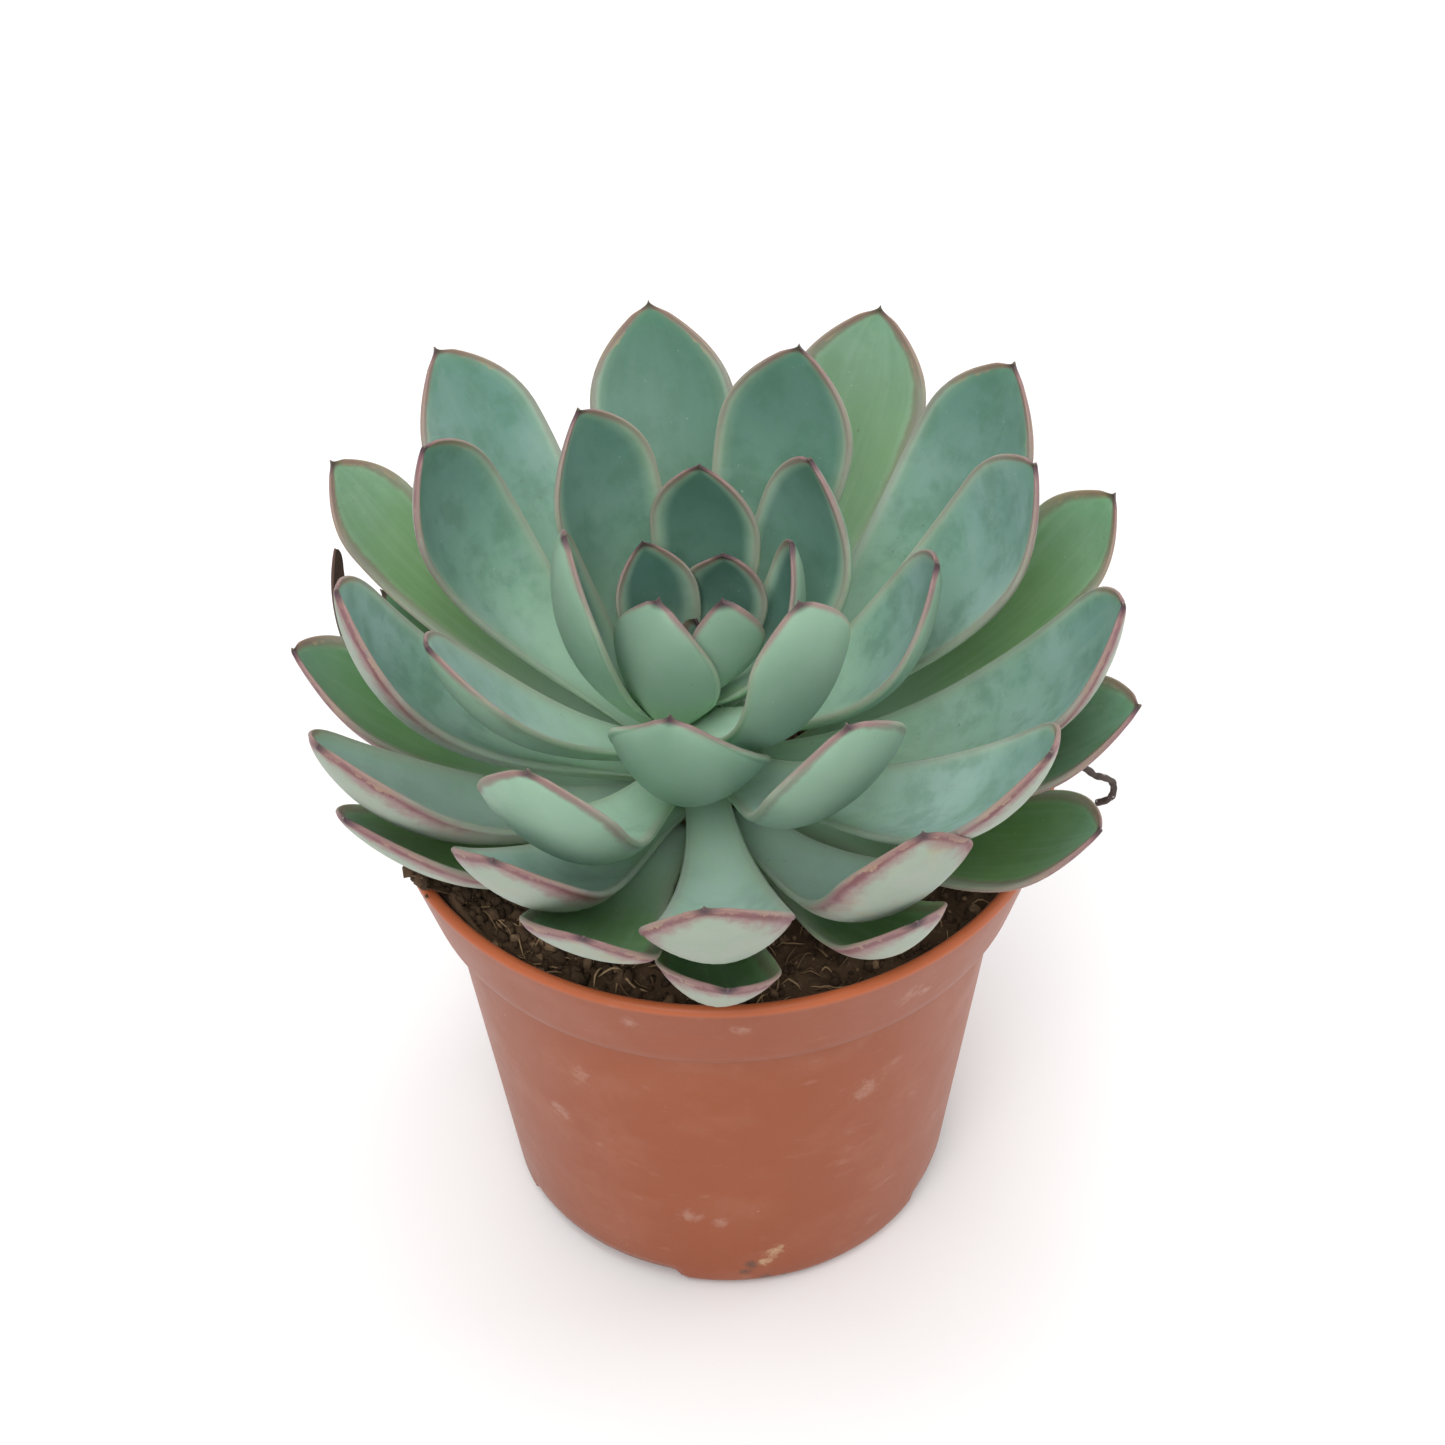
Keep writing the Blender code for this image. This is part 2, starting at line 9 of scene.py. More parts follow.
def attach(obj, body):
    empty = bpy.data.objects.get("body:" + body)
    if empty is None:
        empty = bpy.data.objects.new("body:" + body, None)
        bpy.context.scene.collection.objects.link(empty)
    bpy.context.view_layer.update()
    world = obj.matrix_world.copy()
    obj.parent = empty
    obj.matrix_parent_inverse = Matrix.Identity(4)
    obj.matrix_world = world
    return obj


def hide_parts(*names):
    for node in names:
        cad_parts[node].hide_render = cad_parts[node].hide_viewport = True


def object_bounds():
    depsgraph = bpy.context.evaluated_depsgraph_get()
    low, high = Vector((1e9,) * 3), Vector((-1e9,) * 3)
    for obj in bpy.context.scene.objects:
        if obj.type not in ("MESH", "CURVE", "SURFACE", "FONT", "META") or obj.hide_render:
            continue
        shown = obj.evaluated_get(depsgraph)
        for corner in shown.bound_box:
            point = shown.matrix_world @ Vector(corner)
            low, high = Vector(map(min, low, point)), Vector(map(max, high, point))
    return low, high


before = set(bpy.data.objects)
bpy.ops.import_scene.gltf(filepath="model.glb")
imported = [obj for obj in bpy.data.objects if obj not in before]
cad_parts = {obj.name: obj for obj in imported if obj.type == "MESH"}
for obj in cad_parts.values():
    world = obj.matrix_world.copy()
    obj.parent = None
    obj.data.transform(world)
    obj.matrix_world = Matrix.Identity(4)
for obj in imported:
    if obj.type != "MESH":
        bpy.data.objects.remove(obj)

cad_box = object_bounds()


# Pot: a 12 cm nursery pot, moulded in thin terracotta-coloured plastic, with a rounded lip, a
# collar over a small ledge, a tapered body, and a foot that is raised in three shallow arches.
# One turned surface; its lowest part is lifted where an arch is, and six drain holes are cut.
MM = 0.001
POT_MIDDLE = np.array([1.43, 12.93, 0.0])    # where the pot's own middle stands, in mm
RIM_RADIUS = 60.0
LIP_MIDDLE = (58.8, 95.2)                    # radius and height of the middle of the lip's round
LIP_ROUND = 1.2
LEDGE_HEIGHT = 77.9
COLLAR_FOOT_RADIUS = 54.9
BODY_TOP_RADIUS = 51.7
FOOT_RADIUS = 41.4
HEEL_ROUND = 4.8
WALL = 1.3
UNDERSIDE = 5.2
FLOOR_TOP = 6.8
FLOOR_BEND = 9.8
OUTLINE_POINTS = 110
POT_CORNERS = 240
ARCH_RISE = 5.1
ARCH_TURNS = np.radians([231.0, 351.0, 111.0])
ARCH_HALF = math.radians(29.0)
ARCH_SLOPE = 0.10
ARCH_INNER_RADIUS = 34.0
DRAIN_HOLES = 6
DRAIN_RING_RADIUS = 24.0
DRAIN_RADIUS = 3.5


def in_place(points):
    """Points in mm from the pot's own middle, as lists of metres in the shared frame."""
    return ((np.asarray(points) + POT_MIDDLE) * MM).tolist()


def turn_outward(mesh):
    """Every face of a closed mesh is turned to look outward, and shaded smooth."""
    shape = bmesh.new()
    shape.from_mesh(mesh)
    bmesh.ops.recalc_face_normals(shape, faces=shape.faces)
    shape.to_mesh(mesh)
    shape.free()
    mesh.polygons.foreach_set("use_smooth", np.ones(len(mesh.polygons), bool))


def make_piece(name, points, faces, flags):
    """A closed mesh in the scene, from points in mm. flags are numbers kept with every point."""
    mesh = bpy.data.meshes.new(name)
    mesh.from_pydata(in_place(points), [], faces)
    turn_outward(mesh)
    for flag, values in flags.items():
        keep = mesh.attributes.new(flag, "FLOAT", "POINT")
        keep.data.foreach_set("value", np.asarray(values, np.float32).ravel())
    piece = bpy.data.objects.new(name, mesh)
    bpy.context.scene.collection.objects.link(piece)
    return piece


def skin(name, rings, start, end, flags=None):
    """A piece over rings of points in mm: four-sided faces join each ring to the next, and a fan
    of triangles runs to a pole point at each end."""
    rows, columns = rings.shape[:2]
    points = [rings.reshape(-1, 3)]
    here = np.arange(columns)
    far = (here + 1) % columns
    base = np.arange(rows - 1)[:, None] * columns
    quads = np.stack([base + here, base + far, base + far + columns, base + here + columns], -1)
    faces = quads.reshape(-1, 4).tolist()
    total = rows * columns
    for pole, row in ((start, 0), (end, rows - 1)):
        points.append(np.asarray(pole, float).reshape(1, 3))
        faces += np.stack([row * columns + far, row * columns + here,
                           np.full(columns, total)], -1).tolist()
        total += 1
    return make_piece(name, np.concatenate(points), faces, flags or {})


class Finish:
    """A procedural material. Each call adds one node and returns the socket that leaves it."""

    def __init__(self, name, roughness, specular):
        self.material = bpy.data.materials.new(name)
        self.material.use_nodes = True
        self.tree = self.material.node_tree
        self.shader = self.tree.nodes["Principled BSDF"]
        self.shader.inputs["Roughness"].default_value = roughness
        self.shader.inputs["Specular IOR Level"].default_value = specular
        self.place = self.add("ShaderNodeTexCoord", {}, "Object")

    def add(self, kind, inputs, out=0, **settings):
        """A node of a kind, with a socket or a value at each input named, and its settings."""
        node = self.tree.nodes.new(kind)
        for key, value in settings.items():
            setattr(node, key, value)
        for key, value in inputs.items():
            if isinstance(value, bpy.types.NodeSocket):
                self.tree.links.new(value, node.inputs[key])
            else:
                node.inputs[key].default_value = value
        return node.outputs[out]

    def noise(self, size, detail=2.0, rough=0.5, stretch=None):
        """Soft noise from 0 to 1 with patches about size mm across, drawn out along stretch."""
        place = self.place
        if stretch is not None:
            place = self.add("ShaderNodeMapping", {"Vector": place, "Scale": stretch})
        inputs = {"Vector": place, "Scale": 1 / MM / size, "Detail": detail, "Roughness": rough}
        return self.add("ShaderNodeTexNoise", inputs, "Fac")

    def lengthwise(self, along, across, seed):
        """Noise in streaks that run from a leaf's root to its tip, different on each leaf."""
        place = self.add("ShaderNodeCombineXYZ", {"X": self.times(along, 3.0),
                                                  "Y": self.times(across, 7.0), "Z": seed})
        return self.add("ShaderNodeTexNoise", {"Vector": place, "Scale": 1.0, "Detail": 4.0}, "Fac")

    def flag(self, name):
        """The number of that name kept with every point."""
        return self.add("ShaderNodeAttribute", {}, "Fac", attribute_name=name)

    def level(self):
        """Height above the floor in mm."""
        height = self.add("ShaderNodeSeparateXYZ", {"Vector": self.place}, "Z")
        return self.times(height, 1 / MM)

    def combine(self, kind, a, b):
        """Two values added, subtracted or the like, as the kind says."""
        return self.add("ShaderNodeMath", {0: a, 1: b}, operation=kind)

    def times(self, a, b):
        return self.combine("MULTIPLY", a, b)

    def fade(self, value, low, high):
        """0 below low and 1 above high, smoothly between; low may be above high."""
        return self.add("ShaderNodeMapRange", {"Value": value, "From Min": low, "From Max": high},
                        interpolation_type="SMOOTHSTEP")

    def blend(self, share, under, over):
        """One colour laid over another by a share; a colour is a socket or three numbers."""
        under, over = (colour if isinstance(colour, bpy.types.NodeSocket) else (*colour, 1.0)
                       for colour in (under, over))
        return self.add("ShaderNodeMix", {0: share, 6: under, 7: over}, 2, data_type="RGBA")

    def colour(self, socket):
        self.tree.links.new(socket, self.shader.inputs["Base Color"])

    def gloss(self, share, low, high):
        """Roughness that runs from low to high with a share."""
        rough = self.add("ShaderNodeMapRange", {"Value": share, "To Min": low, "To Max": high})
        self.tree.links.new(rough, self.shader.inputs["Roughness"])

    def bump(self, height, depth):
        """Relief of a height from 0 to 1, depth mm deep."""
        normal = self.add("ShaderNodeBump", {"Height": height, "Distance": depth * MM}, "Normal")
        self.tree.links.new(normal, self.shader.inputs["Normal"])


def body_radius(height):
    """Outer radius of the tapered body at a height, in mm."""
    return FOOT_RADIUS + (BODY_TOP_RADIUS - FOOT_RADIUS) * height / LEDGE_HEIGHT


def pot_outline():
    """Radius and height from the middle of the floor, up the inside, over the lip and down to the
    middle of the underside: straight runs and arcs, softened over about 0.3 mm of their length,
    then sampled most closely where they bend most."""
    lip = [(LIP_MIDDLE[0] + LIP_ROUND * math.sin(a), LIP_MIDDLE[1] + LIP_ROUND * math.cos(a))
           for a in np.radians([0, 30, 60, 90])]
    heel = body_radius(HEEL_ROUND) - HEEL_ROUND
    foot = [(heel + HEEL_ROUND * math.cos(a), HEEL_ROUND - HEEL_ROUND * math.sin(a))
            for a in np.radians(range(0, 91, 15))]
    line = [(0.0, FLOOR_TOP), (body_radius(FLOOR_TOP) - 4.3, FLOOR_TOP),
            (body_radius(FLOOR_BEND) - WALL, FLOOR_BEND), (BODY_TOP_RADIUS - WALL, 76.4),
            (COLLAR_FOOT_RADIUS - WALL, 79.2), (57.4, 94.2), (57.6, 95.6), (58.2, 96.3)] + lip
    line += [(59.5, 93.8), (55.0, 78.4), (54.5, 77.9), (52.0, 77.6), (51.5, 76.7)] + foot
    line += [(heel - 1.6, 0.0), (heel - 2.4, 1.0), (heel - 2.8, UNDERSIDE), (0.0, UNDERSIDE)]
    line = np.array(line)
    pace, blur = 0.1, 12
    walked = np.concatenate([[0], np.cumsum(np.hypot(*np.diff(line, axis=0).T))])
    fine = np.arange(0.0, walked[-1], pace)
    path = np.column_stack([np.interp(fine, walked, line[:, k]) for k in (0, 1)])
    soften = np.exp(-(np.arange(-blur, blur + 1) / 4.0) ** 2)
    soften /= soften.sum()
    padded = np.pad(path, ((blur, blur), (0, 0)), mode="edge")
    path = np.column_stack([np.convolve(padded[:, k], soften, "valid") for k in (0, 1)])
    step = np.gradient(path, axis=0)
    bend = np.abs(np.gradient(np.unwrap(np.arctan2(step[:, 1], step[:, 0]))))
    weight = np.cumsum(pace / 4.0 + bend / math.radians(9.0))
    even = np.linspace(weight[0], weight[-1], OUTLINE_POINTS)
    pick = np.interp(even, weight, np.arange(len(path)))
    return np.column_stack([np.interp(pick, np.arange(len(path)), path[:, k]) for k in (0, 1)])


def arch_lift(turns):
    """How far the foot is raised at each turn: the arch's rise, with sloping ends."""
    lift = np.zeros_like(turns)
    for middle in ARCH_TURNS:
        off = np.abs((turns - middle + math.pi) % math.tau - math.pi)
        share = np.clip((ARCH_HALF - off) / ARCH_SLOPE, 0, 1)
        lift = np.maximum(lift, ARCH_RISE * share * share * (3 - 2 * share))
    return lift


outline = pot_outline()
turns = np.arange(POT_CORNERS) * math.tau / POT_CORNERS
radius, height = outline[1:-1, :1], outline[1:-1, 1:]
height = np.maximum(height, arch_lift(turns) * (radius > ARCH_INNER_RADIUS))
rings = np.stack([radius * np.cos(turns), radius * np.sin(turns), height], -1)
pot = skin("nursery_pot", rings, (0, 0, FLOOR_TOP), (0, 0, UNDERSIDE))
# Each punch is an upright cylinder, 10 mm high, whose middle is in the floor
for k in range(DRAIN_HOLES):
    turn = k * math.tau / DRAIN_HOLES
    middle = (DRAIN_RING_RADIUS * math.cos(turn), DRAIN_RING_RADIUS * math.sin(turn), 6.0)
    punch_mesh = bpy.data.meshes.new("drain_punch")
    punch_shape = bmesh.new()
    bmesh.ops.create_cone(punch_shape, cap_ends=True, segments=32, radius1=DRAIN_RADIUS * MM,
                          radius2=DRAIN_RADIUS * MM, depth=10 * MM)
    bmesh.ops.translate(punch_shape, verts=punch_shape.verts, vec=in_place(middle))
    punch_shape.to_mesh(punch_mesh)
    punch_shape.free()
    punch = bpy.data.objects.new("drain_punch", punch_mesh)
    bpy.context.scene.collection.objects.link(punch)
    hole = pot.modifiers.new("drain", "BOOLEAN")
    hole.operation = "DIFFERENCE"
    hole.object = punch
    bpy.context.view_layer.update()
    evaluated = pot.evaluated_get(bpy.context.evaluated_depsgraph_get())
    drilled = bpy.data.meshes.new_from_object(evaluated)
    pot.modifiers.clear()
    pot.data = drilled
    bpy.data.objects.remove(punch, do_unlink=True)

plastic = Finish("terracotta_plastic", 0.42, 0.36)
level = plastic.level()
shade = plastic.blend(plastic.noise(38, 3), (0.254, 0.052, 0.010), (0.290, 0.064, 0.015))
dust = plastic.fade(plastic.noise(17, 5, 0.62), 0.45, 0.78)
shade = plastic.blend(plastic.times(dust, 0.22), shade, (0.42, 0.185, 0.115))
smear = plastic.fade(plastic.noise(8, 4, 0.6, (1.0, 1.0, 2.2)), 0.60, 0.78)
shade = plastic.blend(plastic.times(smear, 0.22), shade, (0.50, 0.27, 0.20))
scuff = plastic.fade(plastic.noise(2.6, 5, 0.7, (1.0, 1.0, 1.8)), 0.66, 0.74)
scuff = plastic.times(scuff, plastic.fade(plastic.noise(14, 3), 0.50, 0.62))
shade = plastic.blend(plastic.times(scuff, 0.55), shade, (0.62, 0.44, 0.37))
collar = plastic.times(plastic.fade(level, 77.6, 79.0), 0.35)
shade = plastic.blend(collar, shade, (0.230, 0.042, 0.006))
# Painted light: the lip is painted a lighter orange, as light falls on its upturned round
lip = plastic.fade(level, 94.3, 95.6)
shade = plastic.blend(plastic.times(lip, 0.7), shade, (0.50, 0.125, 0.045))
# Painted shade: a dark band on the body just below the collar's ledge, where the ledge's shadow
# falls
shade_under_ledge = plastic.times(plastic.fade(level, 79.2, 78.2), plastic.fade(level, 74.0, 77.2))
shade = plastic.blend(plastic.times(shade_under_ledge, 0.60), shade, (0.155, 0.045, 0.024))
dirt = plastic.fade(plastic.noise(5, 4, 0.65), 0.60, 0.70)
dirt = plastic.times(dirt, plastic.fade(level, 7.0, 3.0))
shade = plastic.blend(plastic.times(dirt, 0.8), shade, (0.10, 0.055, 0.030))
# Marks on the plastic, one kind a painted shadow: each kind's colour and strength, then x, y, z and
# size of each, in mm
POT_MARKS = (
    ((0.60, 0.42, 0.34), 0.26, (
        (2.5, -58.2, 90.0, 1.9), (31.5, -48.0, 86.8, 2.6), (34.3, -45.5, 85.2, 1.5),
        (25.0, -42.0, 56.5, 3.0), (-26.3, -42.1, 62.0, 2.2), (-16.6, -56.0, 90.2, 1.8),
        (-7.8, -44.0, 25.0, 2.4), (-2.1, -44.4, 23.2, 1.6), (-30.8, -36.1, 46.0, 2.6))),
    ((0.060, 0.022, 0.014), 0.8, ((38.6, -40.5, 85.5, 0.8), (-39.6, -13.8, 3.8, 3.2))),
    # Painted shadow of the pale flake listed next: dark spots at its lower left
    ((0.10, 0.042, 0.022), 0.9, ((3.6, -42.4, 8.2, 2.0), (2.4, -42.0, 5.8, 1.6))),
    ((0.48, 0.30, 0.16), 0.9, (
        (8.4, -42.1, 12.2, 1.8), (7.2, -42.2, 10.4, 1.8), (5.8, -42.2, 8.8, 1.5))))
for mark_tint, strength, marks in POT_MARKS:
    for x, y, z, size in marks:
        off = plastic.add("ShaderNodeVectorMath", {0: plastic.place, 1: in_place((x, y, z))},
                          "Value", operation="DISTANCE")
        ragged = plastic.combine("ADD", plastic.times(off, 1 / MM / size),
                                 plastic.times(plastic.noise(1.8, 4, 0.75), 3.4))
        mark = plastic.times(plastic.fade(ragged, 2.9, 1.5), strength)
        shade = plastic.blend(mark, shade, mark_tint)
plastic.colour(shade)
plastic.shader.inputs["Sheen Weight"].default_value = 0.05
plastic.shader.inputs["Sheen Roughness"].default_value = 0.45
plastic.gloss(plastic.noise(9, 4, 0.6), 0.36, 0.56)
plastic.bump(plastic.noise(1.4, 4, 0.6), 0.03)
pot.data.materials.clear()
pot.data.materials.append(plastic.material)
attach(pot, "root")
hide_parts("pot")


# Peat: dark, fibrous potting soil that fills the pot to a few mm below the rim and is heaped over
# the lip at the left. A rough surface in rings, with loose crumbs and straw-coloured fibres on it.
SOIL_LEVEL = 88.4
HEAP_TURN = math.radians(205.0)
HEAP_SPREAD = math.radians(19.0)
HEAP_HEIGHT = 10.5
HEAP_REACH = (44.0, 60.6)    # from the pot's middle to the near and far ends of the heap
LIP_CLEAR = 96.9             # the height from which the heap is clear of the lip
SPREAD_REACH = 56.5          # how far out loose crumbs and fibres are strewn
CRUMB_REACH = 56.3           # beyond this a crumb has to lie on the heap
FIBRE_REACH = 56.2           # and so has each part of a fibre
FURTHEST = 61.5              # no fibre goes past this
STEM_FOOT = np.array([-1.0, -6.0])
# Radius and height of the rings that follow the inside of the pot, a little way off it
SOIL_WALL = ((body_radius(FLOOR_TOP) - 4.6, 7.1), (body_radius(FLOOR_BEND) - 1.65, 10.1),
             (50.05, 76.6), (53.25, 79.5))
SOIL_CORNERS = 330


def rough(x, y, size, seed):
    """Smooth noise from -1 to 1: random heights on a square net of the given size in mm, eased
    from one net point to the next by a smooth step in both directions."""
    cells = 96
    net = np.random.default_rng(seed).uniform(-1, 1, (cells + 1, cells + 1))
    column, row = np.asarray(x) / size + cells // 2, np.asarray(y) / size + cells // 2
    i, j = np.floor(column).astype(int), np.floor(row).astype(int)
    a, b = column - i, row - j
    a, b = a * a * (3 - 2 * a), b * b * (3 - 2 * b)
    i, j = i % cells, j % cells
    return ((net[i, j] * (1 - a) + net[i + 1, j] * a) * (1 - b)
            + (net[i, j + 1] * (1 - a) + net[i + 1, j + 1] * a) * b)


def soil_rise(x, y):
    """The peat's general height: low lumps on a level, and the heap that climbs over the rim."""
    reach = np.hypot(x, y) / RIM_RADIUS
    off = (np.arctan2(y, x) - HEAP_TURN + math.pi) % math.tau - math.pi
    lumps = np.sin(x / 5.1 + 1.3) * np.cos(y / 4.3) + np.sin((x + y) / 2.9) * 0.6
    heap = HEAP_HEIGHT * np.exp(-(off / HEAP_SPREAD) ** 2)
    return SOIL_LEVEL + 0.45 * lumps + heap * np.clip(reach * 2.2 - 1.2, 0, 1) ** 1.5


def soil_top(x, y):
    """The general height with the crumbly surface on it: noise of three sizes."""
    return (soil_rise(x, y) + 0.55 * rough(x, y, 3.4, 1) + 0.5 * rough(x, y, 1.7, 2)
            + 0.28 * rough(x, y, 0.9, 3))


def soil_rings(turns):
    """Rings from the floor up the pot's wall, over the lip where heaped, and in to the stem."""
    ring = np.stack([np.cos(turns), np.sin(turns)], -1)
    rings = []
    for reach, height in SOIL_WALL:
        rings.append(np.column_stack([reach * ring, np.full(len(turns), height)]))
    level = soil_rise(*(RIM_RADIUS * ring).T)
    wall = SOIL_WALL[-1][0] + 3.8 * np.clip((level - 79.2) / 15.0, 0, 1)
    over = np.clip((level - LIP_CLEAR) / 1.5, 0, 1)
    edges = [(wall, np.minimum(level, 94.2))]
    lip_rings = ((0.3, 57.0, LIP_CLEAR), (0.6, 60.4, LIP_CLEAR), (1.0, 61.0, LIP_CLEAR + 0.8))
    for step, reach, height in lip_rings:
        edges.append((wall - step + (reach - wall + step) * over,
                      level + (height - level) * over))
    rings += [np.column_stack([reach[:, None] * ring, height]) for reach, height in edges]
    edge = rings[-1][:, :2]
    for share in np.linspace(0.985, 0.14, 62):
        flat = STEM_FOOT + (edge - STEM_FOOT) * share
        rings.append(np.column_stack([flat, soil_top(*flat.T)]))
    return np.stack(rings)


turns = np.arange(SOIL_CORNERS) * math.tau / SOIL_CORNERS
soil = skin("peat_fill", soil_rings(turns), (0, 0, SOIL_WALL[0][1]), (*STEM_FOOT, 88.0))

peat = Finish("peat", 0.95, 0.2)
clod = peat.blend(peat.noise(5.5, 4, 0.6), (0.034, 0.021, 0.013), (0.150, 0.090, 0.050))
fleck = peat.fade(peat.noise(0.9, 3, 0.6), 0.56, 0.70)
peat.colour(peat.blend(peat.times(fleck, 0.5), clod, (0.19, 0.125, 0.075)))
peat.bump(peat.noise(1.2, 5, 0.7), 0.5)
soil.data.materials.append(peat.material)
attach(soil, "root")
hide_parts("soil")


def spots_on_soil(count, seed, heap_share):
    """Places on the peat: spread evenly over the pot, and a share of them on the heap. A place
    over the wall or the lip is kept only where the heap covers them."""
    draw = np.random.default_rng(seed)
    reach = SPREAD_REACH * np.sqrt(draw.uniform(0.03, 1.0, count))
    turn = draw.uniform(0, math.tau, count)
    heaped = draw.uniform(0, 1, count) < heap_share
    turn = np.where(heaped, HEAP_TURN + draw.normal(0, 0.24, count), turn)
    reach = np.where(heaped, draw.uniform(*HEAP_REACH, count), reach)
    x, y = reach * np.cos(turn), reach * np.sin(turn)
    high = soil_rise(x, y) > LIP_CLEAR + 0.6
    keep = (reach < CRUMB_REACH) | high
    return x[keep], y[keep], draw


def many(name, shapes, faces, grains):
    """One piece of many small like ones: shapes holds the points of each, faces the triangles of
    one, and grains a number for each, by which its colour varies."""
    count, points = shapes.shape[:2]
    every = np.arange(count)[:, None, None] * points + np.asarray(faces)[None]
    return make_piece(name, shapes.reshape(-1, 3), every.reshape(-1, 3).tolist(),
                      {"grain": np.repeat(grains, points)})


def ball_faces(rows, columns):
    """Triangles of a ball: rings of points between two poles, the first point being the lower
    pole and the last the upper one."""
    faces = []
    for k in range(columns):
        far = (k + 1) % columns
        faces.append((0, 1 + far, 1 + k))
        for row in range(rows - 1):
            a, b = 1 + row * columns, 1 + (row + 1) * columns
            faces += [(a + k, a + far, b + far), (a + k, b + far, b + k)]
        a = 1 + (rows - 1) * columns
        faces.append((a + k, a + far, 1 + rows * columns))
    return faces


def crumbs(name, count, seed, heap_share, small, large, finish):
    """Loose crumbs: balls of 3 rings of 6 points, each point pushed in or out at random, squashed
    and turned at random, and sunk by a third into the peat. Small ones are the most common."""
    x, y, draw = spots_on_soil(count, seed, heap_share)
    lift = np.radians([-45, 0, 45])
    around = np.arange(6) * math.tau / 6
    ball = [(0, 0, -1)] + [(math.cos(a) * math.cos(h), math.sin(a) * math.cos(h), math.sin(h))
                           for h in lift for a in around] + [(0, 0, 1)]
    ball = np.array(ball)[None] * draw.uniform(0.7, 1.25, (len(x), len(ball), 1))
    size = small + (large - small) * draw.uniform(0, 1, len(x)) ** 3
    ball = ball * (size[:, None] * draw.uniform(0.5, 1.3, (len(x), 3)))[:, None, :] / 2
    a, b = draw.uniform(0, math.tau, len(x)), draw.uniform(-0.6, 0.6, len(x))
    tilt_x = ball[..., 0] * np.cos(b)[:, None] + ball[..., 2] * np.sin(b)[:, None]
    tilt_z = ball[..., 2] * np.cos(b)[:, None] - ball[..., 0] * np.sin(b)[:, None]
    turned = np.stack([tilt_x * np.cos(a)[:, None] - ball[..., 1] * np.sin(a)[:, None],
                       tilt_x * np.sin(a)[:, None] + ball[..., 1] * np.cos(a)[:, None], tilt_z], -1)
    turned += np.stack([x, y, soil_top(x, y) + size * 0.16], -1)[:, None, :]
    faces = ball_faces(len(lift), len(around))
    piece = many(name, turned, faces, draw.uniform(0, 1, len(x)))
    piece.data.materials.append(finish.material)
    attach(piece, "root")


crumb_finish = Finish("peat_crumb", 0.95, 0.2)
grain = crumb_finish.flag("grain")
tint = crumb_finish.blend(grain, (0.032, 0.020, 0.012), (0.165, 0.102, 0.060))
tint = crumb_finish.blend(crumb_finish.fade(grain, 0.84, 0.95), tint, (0.40, 0.26, 0.15))
crumb_finish.colour(crumb_finish.blend(crumb_finish.noise(0.8, 3), tint, (0.055, 0.035, 0.021)))
crumb_finish.bump(crumb_finish.noise(0.5, 3), 0.25)
crumbs("peat_crumbs", count=4800, seed=11, heap_share=0.26, small=0.5, large=3.4,
       finish=crumb_finish)


def fibres(name, count, seed, heap_share, shortest, longest, finish):
    """Fibres on the peat: thin three-sided tubes that taper, along curved lines over the surface;
    each line turns steadily as it goes and lifts a little in its middle."""
    x, y, draw = spots_on_soil(count, seed, heap_share)
    steps = np.linspace(0, 1, 9)
    head = draw.uniform(0, math.tau, len(x))[:, None]
    head = head + draw.normal(0, 0.7, len(x))[:, None] * steps
    long = draw.uniform(shortest, longest, len(x))[:, None]
    px = x[:, None] + np.cumsum(np.cos(head), 1) * long / len(steps)
    py = y[:, None] + np.cumsum(np.sin(head), 1) * long / len(steps)
    reach = np.hypot(px, py)
    inside = (reach < FIBRE_REACH) | (soil_rise(px, py) > LIP_CLEAR + 0.4)
    ok = inside.all(1) & (reach.max(1) < FURTHEST)
    px, py, head = px[ok], py[ok], head[ok]
    lift = draw.uniform(0.1, 1.3, len(px))[:, None] * np.sin(math.pi * steps)
    pz = soil_top(px, py) + 0.25 + lift
    wide = draw.uniform(0.09, 0.24, len(px))[:, None]
    wide = wide * np.sqrt(np.clip(1.04 - (2 * steps - 1) ** 4, 0, 1))
    corners = np.arange(3) * math.tau / 3
    rings = np.stack([px[..., None] - np.sin(head)[..., None] * np.cos(corners) * wide[..., None],
                      py[..., None] + np.cos(head)[..., None] * np.cos(corners) * wide[..., None],
                      pz[..., None] + np.sin(corners) * wide[..., None]], -1)
    faces, last = [], 3 * (len(steps) - 1)
    for a in range(0, last, 3):
        for k in range(3):
            far = (k + 1) % 3
            faces += [(a + k, a + far, a + 3 + far), (a + k, a + 3 + far, a + 3 + k)]
    faces += [(0, 2, 1), (last, last + 1, last + 2)]
    piece = many(name, rings.reshape(len(px), -1, 3), faces, draw.uniform(0, 1, len(px)))
    piece.data.materials.append(finish.material)
    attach(piece, "root")


straw = Finish("straw_fibre", 0.8, 0.3)
straw.colour(straw.blend(straw.flag("grain"), (0.11, 0.062, 0.030), (0.50, 0.34, 0.19)))
fibres("peat_fibres", count=700, seed=21, heap_share=0.25, shortest=1.5, longest=8.0,
       finish=straw)


# Stem: short, thick and brown-green, marked with rings where old leaves sat. It stands in the
# peat and leans to the front. One surface in rings round the leaning line, with low ridges.
LEAN_SIDE = math.radians(-3.5)
LEAN_FRONT = math.radians(11.0)
STEM_LEVEL = 90.0       # where the leaning line starts, in mm above the floor
STEM_BOTTOM = -10.0     # in mm from there along the line, as the next two are
STEM_TOP = 36.0
ROSETTE_TOP = 37        # where the youngest leaf's root is
STEM_CORNERS = 56
OLDEST = 44             # the age of a leaf whose root is at the line's start
HEIGHT_POWER = 1.15     # the power by which roots lie lower with age
REACH_GAIN = 6.5        # how much thicker the stem is, in mm, at roots of the next age
REACH_AGE = 22


